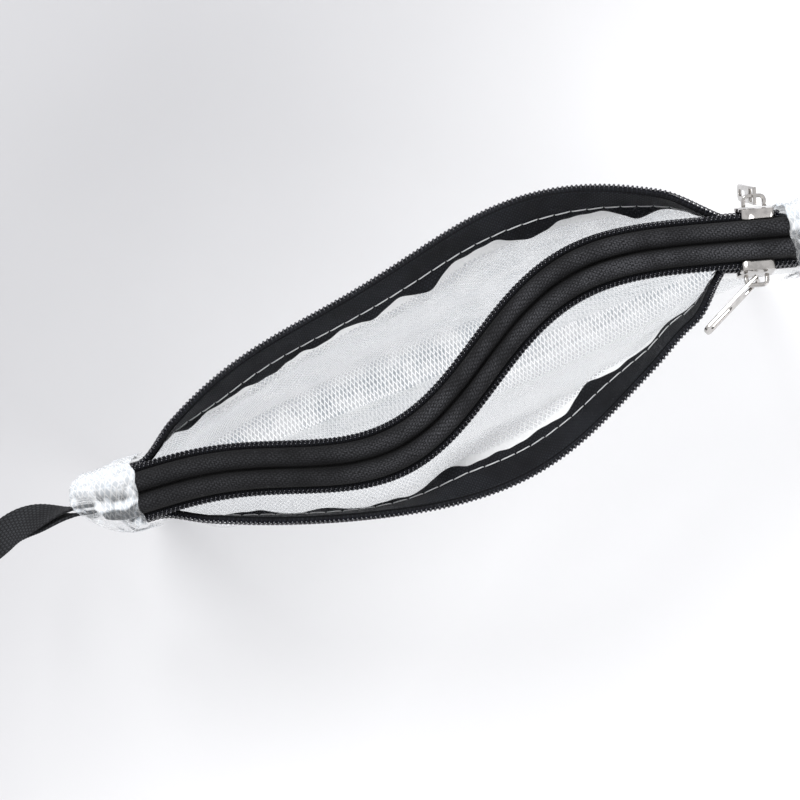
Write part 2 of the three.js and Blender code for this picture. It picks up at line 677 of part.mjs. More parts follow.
function strapRoot() {
  const tail = STRAP_EXIT.clone().setX(STRAP_EXIT.x + STRAP_TAIL);
  const end = STRAP_HINGE.clone().setX(STRAP_HINGE.x + LOOP_THICKNESS / 2 + GAP);
  const lead = new THREE.CubicBezierCurve3(
    STRAP_EXIT,
    STRAP_EXIT.clone().setX(lerp(STRAP_EXIT.x, end.x, 0.4)),
    end.clone().setX(lerp(STRAP_EXIT.x, end.x, 0.6)),
    end,
  );
  const upright = radians(90);
  const stations = [
    { point: tail, tangent: new THREE.Vector3(-1, 0, 0), turn: upright },
    ...evenSteps(0, 1, 9).map((u) => ({
      point: lead.getPointAt(u),
      tangent: lead.getTangentAt(u),
      turn: upright * (1 - smooth(u, 0.05, 0.8)),
    })),
  ];
  const upper = stations.map((station) => webbingRing(station, 1)).reverse();
  const lower = stations.map((station) => underneath(webbingRing(station, -1)));
  return ringLoft([...upper, ...webbingFold(stations[0], -1), ...lower]);
}

function wristStrap() {
  const drops = STRAP_ROUTE.map(([x, z]) => STRAP_HINGE.clone().add(new THREE.Vector3(x, 0, z)));
  const route = new THREE.CubicBezierCurve3(STRAP_HINGE, ...drops);
  const stations = evenSteps(0, 1, 12).map((u) => ({
    point: route.getPointAt(u),
    tangent: route.getTangentAt(u),
    turn: 0,
  }));
  const upper = stations.map((station) => webbingRing(station, 1));
  const lower = stations.map((station) => underneath(webbingRing(station, -1))).reverse();
  const farFold = webbingFold(stations.at(-1), 1);
  const nearFold = webbingFold(stations[0], -1).reverse();
  return ringLoft([...upper, ...farFold, ...lower, ...nearFold], true);
}

addPiece('wrist_strap', wristStrap(), webbing);
addPiece('strap_root', strapRoot(), webbing);

// End caps: film wrapped over the zipper ends, with a blunt nose over the side seam
function crestLine(x, side) {
  const nose = Math.sqrt(Math.max(0, 1 - ((Math.abs(x) - HALF_ZIP) / (HALF - HALF_ZIP)) ** 2));
  const full = Math.abs(x) > HALF_ZIP ? nose : 1;
  const over = TAPE / 2 + GAP + ELEMENT_THICKNESS + CAP_CLEARANCE + FILM / 2;
  const root = EDGE_TO_CHAIN + ELEMENT_ROOT;
  const overTape = TAPE / 2 + CAP_CLEARANCE + FILM / 2;
  const line = [
    onChain(side, -root - 0.6, over),
    onChain(side, root, over),
    onArch(side, 42, overTape),
    onArch(side, 90, overTape),
  ];
  return line.map((p) => ({ y: p.y * full + shiftAt(x), z: p.z - CAP_DROP * (1 - full) }));
}

function capProfile(x, side) {
  const wall = filmProfile(x, side);
  const line = offsetLine(wall, side * -FILM_TO_FILM).slice(-4);
  const crest = crestLine(x, side);
  const skirtFoot = CHAIN_HEIGHT - CAP_SKIRT;
  const [low, high, , top] = line;
  const share = (skirtFoot - low.z) / (high.z - low.z);
  const foot = { y: lerp(low.y, high.y, share), z: skirtFoot };
  const widen = (p, amount) => {
    const room = Math.max(0, side * (crest[0].y - p.y));
    return { y: p.y + side * room * amount, z: p.z };
  };
  return [foot, widen(high, 0.3), widen(top, 0.75), ...crest];
}

function capSection(x) {
  return thicken([...capProfile(x, BACK), ...capProfile(x, FRONT).reverse()], FILM);
}

function capStations(start) {
  const nose = [0.55, 0.75, 0.88].map((t) => lerp(SEAM_START, HALF, t));
  return [start, HALF_ZIP, ...END_STATIONS.slice(0, 3), ...nose, HALF - GAP];
}

function leftCap() {
  const cap = toManifold(sectionLoft(capStations(HALF_ZIP - LEFT_CAP_LAP).map((x) => -x).reverse(), capSection));
  const slot = box(
    [12, LOOP_THICKNESS + GAP * 2, STRAP_WIDTH + GAP * 2],
    [-HALF - 2, STRAP_EXIT.y, STRAP_EXIT.z],
  );
  return toGeometry(cap.subtract(slot));
}

addPiece('left_end_cap', leftCap(), clearFilm);
addPiece('right_end_cap', sectionLoft(capStations(HALF_ZIP - RIGHT_CAP_LAP), capSection), clearFilm);

// Side bindings: a strip of film folded over each side seam, up to the cap
function sideBinding() {
  const inner = FILM_TO_FILM + FILM / 2 + GAP;
  const outer = inner + FILM;
  const edge = HALF + GAP;
  const channel = new THREE.Shape();
  channel.moveTo(SEAM_START + 0.5, inner);
  channel.lineTo(edge, inner);
  channel.lineTo(edge, -inner);
  channel.lineTo(SEAM_START + 0.5, -inner);
  channel.lineTo(SEAM_START + 0.5, -outer);
  channel.lineTo(edge + FILM, -outer);
  channel.lineTo(edge + FILM, outer);
  channel.lineTo(SEAM_START + 0.5, outer);
  const height = CHAIN_HEIGHT - CAP_SKIRT - GAP - FILM;
  const geometry = new THREE.ExtrudeGeometry(channel, { depth: height, bevelEnabled: false });
  geometry.translate(0, 0, FILM);
  return geometry;
}

addPiece('right_side_binding', sideBinding(), clearFilm);
addPiece('left_side_binding', sideBinding().rotateZ(Math.PI), clearFilm);

export default group;
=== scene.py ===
# %% [markdown]
# A zipper document pouch, seen from above.
# The pouch stands on its base with both zippers open, and the camera looks straight down into it.
# What shows is soft: net-reinforced film, black woven tapes, two long coils, crinkled end caps
# and a webbing strap. Only the sliders and their pulls are hard.
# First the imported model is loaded. It fixes where every piece belongs and what each one moves with.

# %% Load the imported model
import math

import bmesh
import bpy
import numpy as np
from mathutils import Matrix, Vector, noise


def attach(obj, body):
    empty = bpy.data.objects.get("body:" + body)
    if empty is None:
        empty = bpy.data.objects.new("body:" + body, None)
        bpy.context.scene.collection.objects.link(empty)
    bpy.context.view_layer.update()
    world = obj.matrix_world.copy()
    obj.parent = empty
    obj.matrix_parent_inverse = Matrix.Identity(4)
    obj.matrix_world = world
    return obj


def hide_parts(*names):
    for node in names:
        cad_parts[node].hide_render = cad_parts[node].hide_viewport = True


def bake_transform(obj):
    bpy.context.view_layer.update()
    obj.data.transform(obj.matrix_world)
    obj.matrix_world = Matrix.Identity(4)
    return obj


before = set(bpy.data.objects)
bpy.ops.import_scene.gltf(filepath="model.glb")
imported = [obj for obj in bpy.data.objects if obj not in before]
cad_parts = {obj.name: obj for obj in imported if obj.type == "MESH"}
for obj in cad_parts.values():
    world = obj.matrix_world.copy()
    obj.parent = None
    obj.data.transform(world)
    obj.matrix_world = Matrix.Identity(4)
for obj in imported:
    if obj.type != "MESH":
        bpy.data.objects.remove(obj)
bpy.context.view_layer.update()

MM = 0.001
scene = bpy.context.scene

# %% [markdown]
# Small helpers for shader nodes.
# A material is a graph. Writing each node and link by hand hides the idea of it, so one short class
# adds a node, fills its sockets with numbers or links, and does the sums that patterns need. It also
# reads what patterns start from: a point's place on its sheet or in the model, and marks on its mesh.

# %% Node helper
FLOAT, VECTOR = "NodeSocketFloat", "NodeSocketVector"


class Graph:
    def __init__(self, tree):
        self.tree = tree

    def add(self, kind, inputs=None, **settings):
        node = self.tree.nodes.new(kind)
        for name, value in settings.items():
            setattr(node, name, value)
        for key, value in (inputs or {}).items():
            self.fill(node.inputs[key], value)
        return node

    def fill(self, socket, value):
        if isinstance(value, bpy.types.NodeSocket):
            self.tree.links.new(value, socket)
        else:
            socket.default_value = value

    def sum(self, operation, first, second=0.0, third=0.0):
        inputs = {0: first, 1: second, 2: third}
        return self.add("ShaderNodeMath", inputs, operation=operation).outputs[0]

    def vector_sum(self, operation, first, second, third=(0.0, 0.0, 0.0)):
        inputs = {0: first, 1: second, 2: third}
        return self.add("ShaderNodeVectorMath", inputs, operation=operation).outputs[0]

    def ramp(self, value, low, high, to_low=0.0, to_high=1.0):
        return self.add("ShaderNodeMapRange", {
            "Value": value, "From Min": low, "From Max": high, "To Min": to_low, "To Max": to_high,
        }, interpolation_type="SMOOTHSTEP").outputs["Result"]

    def blend(self, factor, first, second):
        return self.add("ShaderNodeMix", {0: factor, 6: first, 7: second}, data_type="RGBA").outputs[2]

    def between(self, factor, first, second):
        return self.add("ShaderNodeMix", {0: factor, 2: first, 3: second}, data_type="FLOAT").outputs[0]

    def noise(self, place, scale, detail=3.0, roughness=0.5, output="Fac"):
        inputs = {"Vector": place, "Scale": scale, "Detail": detail, "Roughness": roughness}
        return self.add("ShaderNodeTexNoise", inputs).outputs[output]

    def cells(self, place, scale, feature="F1"):
        inputs = {"Vector": place, "Scale": scale}
        return self.add("ShaderNodeTexVoronoi", inputs, feature=feature).outputs["Distance"]

    def warped(self, place, scale, push):
        """The place pushed about by soft noise, so that the pattern on it wanders."""
        shove = self.noise(place, scale, 2.0, output="Color")
        return self.vector_sum("MULTIPLY_ADD", shove, (push,) * 3, place)

    def split(self, place):
        return self.add("ShaderNodeSeparateXYZ", {0: place}).outputs

    def on_sheet(self):
        return self.add("ShaderNodeUVMap", uv_map="sheet").outputs[0]

    def in_model(self):
        return self.add("ShaderNodeTexCoord").outputs["Object"]

    def mark(self, name):
        return self.add("ShaderNodeAttribute", attribute_name=name).outputs["Fac"]

    def bump(self, shader, strength, distance, height):
        inputs = {"Strength": strength, "Distance": distance, "Height": height}
        self.fill(shader["Normal"], self.add("ShaderNodeBump", inputs).outputs[0])

    def group(self, tree, inputs):
        return self.add("ShaderNodeGroup", inputs, node_tree=tree).outputs


def effect(name, inputs, outputs):
    """An empty shader node group with named sockets: its tree, graph, inputs and output node."""
    tree = bpy.data.node_groups.new(name, "ShaderNodeTree")
    for label, kind, value in inputs:
        socket = tree.interface.new_socket(label, in_out="INPUT", socket_type=kind)
        if kind == FLOAT:
            socket.default_value = value
    for label in outputs:
        tree.interface.new_socket(label, in_out="OUTPUT", socket_type=FLOAT)
    graph = Graph(tree)
    return tree, graph, graph.add("NodeGroupInput").outputs, graph.add("NodeGroupOutput").inputs


def material(name, fixed):
    """A new material, its graph, and the inputs of its Principled shader, some of them fixed."""
    made = bpy.data.materials.new(name)
    made.use_nodes = True
    shader = made.node_tree.nodes["Principled BSDF"].inputs
    for label, value in fixed.items():
        shader[label].default_value = value
    return made, Graph(made.node_tree), shader


# %% [markdown]
# The camera and the studio.
# The photograph was taken from above with a long lens, so the view is nearly free of perspective.
# The camera hangs 550 mm over the mouths and is turned about its own axis, which lays the pouch
# slantwise in the frame. The light is a broad soft panel above, a weaker one from the side, and an
# even pale world. Mirrors see that world dark near the floor and bright overhead, as a room is, and
# the camera sees it a little brighter than the surfaces do, so that clear film stays bright inside.

# %% Camera straight above the mouths
camera_data = bpy.data.cameras.new("camera")
camera_data.sensor_fit = "HORIZONTAL"
camera_data.sensor_width = 36.0
camera_data.lens = 75.9
camera = bpy.data.objects.new("camera", camera_data)
camera.location = (-0.0221, -0.0034, 0.710)
camera.rotation_euler = (0.0, 0.0, math.radians(-21.9))
scene.collection.objects.link(camera)
scene.camera = camera
scene.view_settings.view_transform = "Standard"
print("camera at", tuple(round(v, 4) for v in camera.location), "lens", camera_data.lens)

# %% Soft light from above
def soft_panel(name, place, aim, size, power):
    data = bpy.data.lights.new(name, "AREA")
    data.shape = "DISK"
    data.size = size
    data.energy = power
    panel = bpy.data.objects.new(name, data)
    panel.location = place
    direction = Vector(aim) - Vector(place)
    panel.rotation_euler = direction.to_track_quat("-Z", "Y").to_euler()
    scene.collection.objects.link(panel)
    return panel


soft_panel("overhead_panel", (-0.15, 0.8, 1.15), (0.0, 0.0, 0.1), 0.7, 11.0)
soft_panel("side_panel", (0.6, -0.7, 0.85), (0.0, 0.0, 0.1), 0.6, 3.9)

# %% Pale world
world = bpy.data.worlds.new("pale_studio")
world.use_nodes = True
scene.world = world
g = Graph(world.node_tree)
background = world.node_tree.nodes["Background"].inputs
background["Color"].default_value = (0.985, 0.985, 1.0, 1.0)
rays = g.add("ShaderNodeLightPath").outputs
seen = g.sum("MAXIMUM", rays["Is Camera Ray"], rays["Is Transmission Ray"])
level = g.add("ShaderNodeMapRange", {"Value": seen, "To Min": 0.8, "To Max": 0.9}).outputs["Result"]
height = g.split(g.add("ShaderNodeTexCoord").outputs["Generated"])["Z"]
room = g.ramp(height, 0.0, 0.8, 0.35, 1.15)
mirrored = g.between(rays["Is Glossy Ray"], 1.0, room)
g.fill(background["Strength"], g.sum("MULTIPLY", level, mirrored))
print("studio: 2 panels and a pale world")

# %% [markdown]
# The net inside the film.
# Reinforced film is two clear sheets with an open net of white yarn laid between them. The yarns run
# in two slanting directions, so they leave diamond holes. The pattern follows the sheet's own map,
# measured in millimetres, because the net was there before the film was bent into a pouch.

# %% Shader group: diamond net
diamond_net, g, source, out = effect(
    "diamond_net",
    [("Place", VECTOR, None), ("Across", FLOAT, 1.7), ("Along", FLOAT, 2.7), ("Yarn", FLOAT, 0.1)],
    ["Yarn", "Height"],
)
wobble = g.noise(source["Place"], 0.35, 1.0, output="Color")
drift = g.vector_sum("SUBTRACT", wobble, (0.5, 0.5, 0.5))
axes = g.split(g.vector_sum("MULTIPLY_ADD", drift, (0.5, 0.5, 0.0), source["Place"]))
u = g.sum("DIVIDE", axes[0], source["Across"])
v = g.sum("DIVIDE", axes[1], source["Along"])
soft_edge = g.sum("ADD", source["Yarn"], 0.09)
yarns = [g.ramp(g.sum("PINGPONG", g.sum(way, u, v), 0.5), source["Yarn"], soft_edge, 1.0, 0.0)
         for way in ("ADD", "SUBTRACT")]
g.fill(out["Yarn"], g.sum("MAXIMUM", *yarns))
g.fill(out["Height"], g.sum("ADD", *yarns))

# %% [markdown]
# Weave and lint.
# Zipper tape and strap webbing are woven. Close up each yarn goes over one neighbour and under the
# next, which two crossed sine waves imitate. Lint is what makes black cloth look real: pale specks
# and hairs that sit on top of it, scattered without any order.

# %% Shader group: woven cloth
woven_cloth, g, source, out = effect(
    "woven_cloth",
    [("Place", VECTOR, None), ("Along", FLOAT, 0.55), ("Across", FLOAT, 0.55), ("Fuzz", FLOAT, 0.3)],
    ["Height", "Shade"],
)
axes = g.split(source["Place"])
warp, weft = [g.sum("SINE", g.sum("DIVIDE", g.sum("MULTIPLY", axis, math.pi), source[step]))
              for axis, step in ((axes[0], "Along"), (axes[1], "Across"))]
crossing = g.sum("MULTIPLY", warp, weft)
yarns = g.sum("MULTIPLY_ADD", g.sum("ADD", g.sum("ABSOLUTE", warp), g.sum("ABSOLUTE", weft)), 0.3, 0.2)
fibres = g.noise(source["Place"], 1.9, 4.0, 0.75)
woven = g.sum("MULTIPLY_ADD", crossing, 0.25, yarns)
fuzzed = g.between(source["Fuzz"], woven, fibres)
g.fill(out["Height"], fuzzed)
broad = g.ramp(g.noise(source["Place"], 0.055), 0.3, 0.62)
knots = g.ramp(fuzzed, 0.40, 0.66)
g.fill(out["Shade"], g.sum("MULTIPLY", g.sum("MULTIPLY_ADD", broad, 0.75, 0.3), knots))

# %% Shader group: lint
lint, g, source, out = effect("lint", [("Place", VECTOR, None), ("Amount", FLOAT, 0.5)], ["Mask"])
specks = g.ramp(g.cells(g.warped(source["Place"], 0.9, 3.0), 0.42), 0.11, 0.05)
patches = g.ramp(g.noise(source["Place"], 0.2, 2.0), 0.45, 0.7)
g.fill(out["Mask"], g.sum("MULTIPLY", specks, g.sum("MULTIPLY", patches, source["Amount"])))

# %% [markdown]
# Crinkles and wear.
# Film that is folded and sewn keeps its creases: small flat facets with sharp ridges between them.
# Distances to the edges of a Voronoi pattern have just that look. Plated metal shows its age as fine
# rubbing: rougher, darker patches on the flats and brighter ones along the edges that a thumb meets.

# %% Shader group: crinkled film
crinkled_film, g, source, out = effect(
    "crinkled_film",
    [("Place", VECTOR, None), ("Facets", FLOAT, 0.25)],
    ["Height", "Ridge"],
)
place = g.warped(source["Place"], 0.3, 2.5)
g.fill(out["Ridge"], g.ramp(g.cells(place, source["Facets"], "DISTANCE_TO_EDGE"), 0.07, 0.0))
heights = g.cells(place, source["Facets"])
g.fill(out["Height"], g.sum("MULTIPLY_ADD", g.noise(source["Place"], 0.9), 0.3, heights))

# %% Shader group: rubbed metal
rubbed_metal, g, source, out = effect(
    "rubbed_metal",
    [("Place", VECTOR, None), ("Edge", FLOAT, 0.0)],
    ["Polish", "Tarnish", "Height"],
)
cloudy = g.noise(source["Place"], 420.0, 2.0)
scratches = g.noise(g.vector_sum("MULTIPLY", source["Place"], (300.0, 2600.0, 2600.0)), 1.0, 2.0)
g.fill(out["Polish"], g.sum("MULTIPLY", source["Edge"], g.ramp(cloudy, 0.3, 0.6)))
g.fill(out["Tarnish"], g.sum("MULTIPLY", g.ramp(cloudy, 0.45, 0.85), g.sum("SUBTRACT", 1.0, source["Edge"])))
g.fill(out["Height"], g.sum("MULTIPLY_ADD", scratches, 0.6, g.sum("MULTIPLY", cloudy, 0.4)))
print("shader groups:", [tree.name for tree in bpy.data.node_groups])

# %% [markdown]
# The finishes.
# Each material puts its groups on its own shader. The film is part clear and part white yarn, so its
# alpha follows the net: yarns almost hide what is behind them, holes let most of it through. The net
# shows on the inner face, and the outer face is nearly clear gloss, as if the yarn lay inside. Rays
# of shadow and of soft light see only a third of the film, so that light gets into the pouch.

# %% Film finish
def film_material(name, hole, hole_alpha, yarn_alpha, facets, crumple, yarn_width=0.1, milk=0.0,
                  front_painted_light=0.0):
    """milk clouds the film in patches and up to the middle of a cap. The last argument is painted light: it
    makes the holes of the front compartment paler, where light falls in.
    """
    made, g, shader = material(name, {"Specular IOR Level": 0.6, "Coat Weight": 0.25, "Coat Roughness": 0.12})
    place = g.on_sheet()
    far_down = g.split(place)[1]
    net = g.group(diamond_net, {"Place": place, "Across": 1.75, "Along": 5.2, "Yarn": yarn_width})
    creases = g.group(crinkled_film, {"Place": place, "Facets": facets})
    cloudy = g.noise(place, 0.09)
    uneven = g.sum("MULTIPLY_ADD", cloudy, 9.0, 6.5)
    hem = g.ramp(g.sum("SUBTRACT", far_down, uneven), 1.5, -1.5)
    yarn = g.sum("MAXIMUM", net["Yarn"], hem)
    # painted light: holes at the front of the pouch are made paler, standing in for the light that falls into
    # the front compartment; the rest of the paling is random cloudy tone
    front = g.sum("MULTIPLY", g.ramp(g.split(g.in_model())[1], 0.004, -0.012), front_painted_light)
    tone_and_painted_light = g.sum("MAXIMUM", g.ramp(cloudy, 0.35, 0.65), front)
    hole_colour = g.blend(tone_and_painted_light, hole, tuple(0.4 * c + 0.58 for c in hole[:3]) + (1.0,))
    g.fill(shader["Base Color"], g.blend(yarn, hole_colour, (0.97, 0.975, 0.98, 1.0)))
    patches = g.ramp(g.noise(place, 0.17, 1.0), 0.48, 0.66)
    milky = g.sum("MULTIPLY", g.sum("MAXIMUM", patches, g.ramp(far_down, 68.0, 56.0)), milk)
    hole_cover = g.sum("ADD", g.sum("MULTIPLY_ADD", creases["Ridge"], 0.25 * milk, hole_alpha), milky)
    through = g.sum("MINIMUM", g.between(yarn, hole_cover, g.sum("ADD", milky, yarn_alpha)), 1.0)
    cover = g.sum("MULTIPLY", through, g.between(g.mark("inner"), 0.12, 1.0))
    rays = g.add("ShaderNodeLightPath").outputs
    lit = g.sum("MAXIMUM", rays["Is Shadow Ray"], rays["Is Diffuse Ray"])
    g.fill(shader["Alpha"], g.sum("MULTIPLY", cover, g.between(lit, 1.0, 0.35)))
    g.fill(shader["Roughness"], g.between(yarn, 0.16, 0.45))
    bumps = g.sum("MULTIPLY_ADD", creases["Height"], crumple, g.sum("MULTIPLY", net["Height"], 0.12))
    g.bump(shader, 0.6, 0.0004, bumps)
    return made


# the net film gets painted light in the holes at its front
net_film = film_material(
    "net_film", hole=(0.16, 0.22, 0.27, 1.0), hole_alpha=0.5, yarn_alpha=0.88, facets=0.05,
    crumple=0.4, front_painted_light=0.85)
cap_film = film_material(
    "crinkled_cap_film", hole=(0.78, 0.84, 0.90, 1.0), hole_alpha=0.12, yarn_alpha=0.22, facets=0.16,
    crumple=2.0, yarn_width=0.05, milk=0.62)

# %% Cloth finishes
def cloth_material(name, dark, light, along, across, fuzz, specks, relief, crest_highlight=0.0):
    """along and across are the yarns' steps in mm. The last argument paints light: it keeps the lighter weave
    only on the marked crests, as a painted highlight where light falls, and darkens the rest as painted shade.
    """
    made, g, shader = material(name, {"Specular IOR Level": 0.2, "Sheen Weight": 0.03, "Sheen Roughness": 0.5})
    place = g.on_sheet()
    weave = g.group(woven_cloth, {"Place": place, "Along": along, "Across": across, "Fuzz": fuzz})
    # painted light: the weave keeps its lighter shade only on the marked crest, as a painted highlight, and
    # goes darker away from it, as painted shade
    worn = g.sum("MULTIPLY", weave["Shade"], g.between(crest_highlight, 1.0, g.mark("crest")))
    dust = g.group(lint, {"Place": place, "Amount": specks})["Mask"]
    g.fill(shader["Base Color"], g.blend(dust, g.blend(worn, dark, light), (0.22, 0.23, 0.25, 1.0)))
    g.fill(shader["Roughness"], g.between(weave["Height"], 0.92, 0.72))
    g.bump(shader, 0.8, relief, weave["Height"])
    return made


outer_tape_cloth = cloth_material(
    "outer_tape_cloth", dark=(0.002, 0.002, 0.003, 1.0), light=(0.016, 0.018, 0.023, 1.0),
    along=0.7, across=0.8, fuzz=0.4, specks=0.25, relief=0.0002)
# the inner tapes get a painted highlight on their crests and painted shade on their sides
inner_tape_cloth = cloth_material(
    "inner_tape_cloth", dark=(0.001, 0.001, 0.0015, 1.0), light=(0.054, 0.055, 0.061, 1.0),
    along=0.85, across=0.62, fuzz=0.72, specks=0.5, relief=0.0003, crest_highlight=0.85)
strap_cloth = cloth_material(
    "strap_webbing", dark=(0.006, 0.006, 0.007, 1.0), light=(0.036, 0.038, 0.042, 1.0),
    along=1.2, across=0.5, fuzz=0.25, specks=0.4, relief=0.0003)

# %% Coil, thread and metal finishes
coil_nylon, g, shader = material("coil_nylon", {"Specular IOR Level": 1.0})
place = g.in_model()
patchy = g.noise(place, 260.0)
g.fill(shader["Base Color"], g.blend(patchy, (0.002, 0.002, 0.005, 1.0), (0.008, 0.009, 0.020, 1.0)))
g.fill(shader["Roughness"], g.ramp(patchy, 0.3, 0.7, 0.06, 0.15))
g.bump(shader, 0.3, 0.00005, g.noise(place, 3000.0))


def thread_material(name, dark, light, roughness):
    made, g, shader = material(name, {"Roughness": roughness})
    plies = g.add("ShaderNodeTexWave", {"Vector": g.on_sheet(), "Scale": 1.4, "Distortion": 1.2},
                  bands_direction="DIAGONAL").outputs["Fac"]
    worn = g.noise(g.in_model(), 90.0)
    g.fill(shader["Base Color"], g.blend(g.sum("MULTIPLY", plies, worn), dark, light))
    g.bump(shader, 0.5, 0.0001, plies)
    return made


white_thread = thread_material("white_thread", (0.55, 0.56, 0.58, 1.0), (0.90, 0.90, 0.89, 1.0), 0.6)
black_thread = thread_material("black_thread", (0.002, 0.002, 0.003, 1.0), (0.014, 0.014, 0.017, 1.0), 0.85)

nickel, g, shader = material("plated_nickel", {"Metallic": 1.0})
wear = g.group(rubbed_metal, {"Place": g.in_model(), "Edge": g.mark("edge")})
plated = g.blend(wear["Tarnish"], (0.40, 0.385, 0.37, 1.0), (0.24, 0.23, 0.215, 1.0))
g.fill(shader["Base Color"], g.blend(wear["Polish"], plated, (0.52, 0.50, 0.48, 1.0)))
rough = g.sum("MULTIPLY_ADD", wear["Tarnish"], 0.12, 0.15)
g.fill(shader["Roughness"], g.sum("MULTIPLY_ADD", wear["Polish"], -0.03, rough))
g.bump(shader, 0.12, 0.00004, wear["Height"])
print("materials:", [made.name for made in bpy.data.materials])

# %% [markdown]
# The floor.
# A plain pale surface under the pouch takes its soft shadow and lights the film from below. It is paler towards
# the front right corner and far from the pouch, as the ground in the photograph is, and its colour carries
# painted light and painted shade: it is darker towards the back left and close to the pouch.

# %% Pale floor
FLOOR_HALF = 2
floor_mesh = bpy.data.meshes.new("floor")
corners = [(x * FLOOR_HALF, y * FLOOR_HALF, 0) for x, y in ((-1, -1), (1, -1), (1, 1), (-1, 1))]
floor_mesh.from_pydata(corners, [], [(0, 1, 2, 3)])
floor = bpy.data.objects.new("floor", floor_mesh)
scene.collection.objects.link(floor)
pale_floor, g, shader = material("pale_floor", {"Roughness": 0.8, "Specular IOR Level": 0.2})
place = g.in_model()
axes = g.split(place)
# painted light and shade: the colour darkens towards the back left and close to the pouch, over a random tone
corner = g.sum("SUBTRACT", g.sum("MULTIPLY", axes[0], 0.6), axes[1])
far = g.ramp(g.add("ShaderNodeVectorMath", {0: place}, operation="LENGTH").outputs["Value"], 0.28, 0.7)
near = g.sum("MULTIPLY_ADD", g.noise(place, 5.0, 2.0), 0.2, g.ramp(corner, -0.22, 0.16))
tone_and_painted_light = g.sum("MAXIMUM", near, far)
g.fill(shader["Base Color"], g.blend(tone_and_painted_light, (0.485, 0.485, 0.50, 1.0), (0.89, 0.89, 0.90, 1.0)))
floor_mesh.materials.append(pale_floor)

# %% [markdown]
# The sizes that rule the shapes, in millimetres.
# The same rules as in the solid model give each lip's wave, how far its tape turns over, and the
# line that the film follows down to the base. So the finished sheets lie where the solids lie, but
# they can have many more points, softer bends and small ripples.

# %% Sizes
FILM, TAPE, GAP = 0.6, 0.7, 0.32
CHAIN_HEIGHT, CHAIN_SPREAD, CHAIN_TILT = 160.0, 7.2, math.radians(80)
HALF_ZIP, SEAM_START, HALF = 119.0, 126.0, 134.0
BASE_HALF_WIDTH, BASE_CORNER, WALL_FULLNESS = 17.0, 9.0, 8.0
TAPE_WIDTH, STITCH_DISTANCE, PANEL_LAP = 14.0, 9.5, 2.5
TIP, VALLEY, ROOT, COIL_THICKNESS, COIL_CLEARANCE = 1.3, 0.1, 2.0, 1.8, 0.4
MOUTH_LENGTH, MOUTH_BLEND = 220.0, 16.0
COIL_HALF, COIL_STEP, STITCH = 114.5, 1.5, 5.6
LIP_ROLL, LIP_RISE, PULL_ROOM = -46.0, 3.0, 1.2
BACK, FRONT = 1, -1
SIDES = {"front": FRONT, "back": BACK}
# how far each lip and the divider swing out along Y, as heights of the first four sine waves
LIP = {BACK: (33.5, -4.9, 3.5, 1.1), FRONT: (-31.0, -3.2, 2.7, -1.3)}
DIVIDER_WAVE = (-3.3, -13.6, 3.7, 3.4)
SLIDER_X = {BACK: 107.0, FRONT: 102.0}
SLIDER_TRAVEL, SLIDER_LENGTH, POST_BACK, POST_HALF = 4.0, 11.5, 3.0, 0.45
TAPE_TO_FILM = TAPE / 2 + GAP + FILM / 2
FILM_TO_FILM = FILM + GAP
GROOVE = TAPE_TO_FILM
EDGE_TO_CHAIN = (TIP + VALLEY + 0.6) / 2
THROAT = POST_HALF + GAP + TIP - EDGE_TO_CHAIN
SLIDER_HALF = EDGE_TO_CHAIN + THROAT + ROOT + GAP + 0.75
CLOTH = TAPE - 0.1
# the caps: lower edge, how far they dip outwards, their film, and where it starts on its map
SKIRT_FOOT, CAP_DIP, CAP_FILM, BINDING_FILM, MAP_BELOW_HEM = CHAIN_HEIGHT - 22, 9, 0.35, 0.45, 20
# the strap pulls the upper left end to the back by this much
LEAN = 5.5
print("zippers", 2 * HALF_ZIP, "mm long, closed at", CHAIN_HEIGHT, "mm above the floor")

# %% How the mouths open along X
def as_grid(*parts):
    """Points from their coordinates, each of which is spread over all rows and columns."""
    return np.stack(np.broadcast_arrays(*parts), -1)


def smooth(x, low, high):
    t = np.clip((np.asarray(x, float) - low) / (high - low), 0, 1)
    return t * t * (3 - 2 * t)


def cap_share(x):
    """How wide the bundle under a cap still is at x, as a share of its width at the zippers' ends."""
    past = np.clip((np.abs(x) - HALF_ZIP) / (HALF - HALF_ZIP), 0, 1)
    return np.sqrt(1 - past ** 4) * (1 - 0.3 * past)


def leaned(points):
    """The points with the upper left end moved towards the back, as the strap pulls it."""
    moved = np.array(points, float)
    moved[..., 1] += LEAN * smooth(-moved[..., 0], 118, 134) * smooth(moved[..., 2], 136, 151)
    return moved


def mouth_end(side):
    return SLIDER_X[side] - SLIDER_TRAVEL - SLIDER_LENGTH / 2 - GAP


LAST_MOUTH_END = min(mouth_end(BACK), mouth_end(FRONT))


def wave_at(x, terms):
    u = np.asarray(x, float) / MOUTH_LENGTH + 0.5
    return sum(a * np.sin(math.pi * (k + 1) * u) for k, a in enumerate(terms))


def divider_wave(x):
    """The divider's shift along Y, running straight on past the mouths to the zippers' ends."""
    at = np.clip(x, -MOUTH_LENGTH / 2, LAST_MOUTH_END)
    slope = (wave_at(at + 0.01, DIVIDER_WAVE) - wave_at(at - 0.01, DIVIDER_WAVE)) / 0.02
    return wave_at(at, DIVIDER_WAVE) + slope * (x - at)


def lip_wave(x, side):
    t = np.clip(np.minimum(mouth_end(side) - x, x + MOUTH_LENGTH / 2) / MOUTH_BLEND, 0, 1)
    share = t * (2 - t)
    return divider_wave(x) * (1 - share) + wave_at(x, LIP[side]) * share


def shift_at(x):
    """The divider's shift, gone where the side seams are flat."""
    inside = np.clip(x, -HALF_ZIP, HALF_ZIP)
    return divider_wave(inside) * (1 - smooth(np.abs(x), HALF_ZIP, SEAM_START))


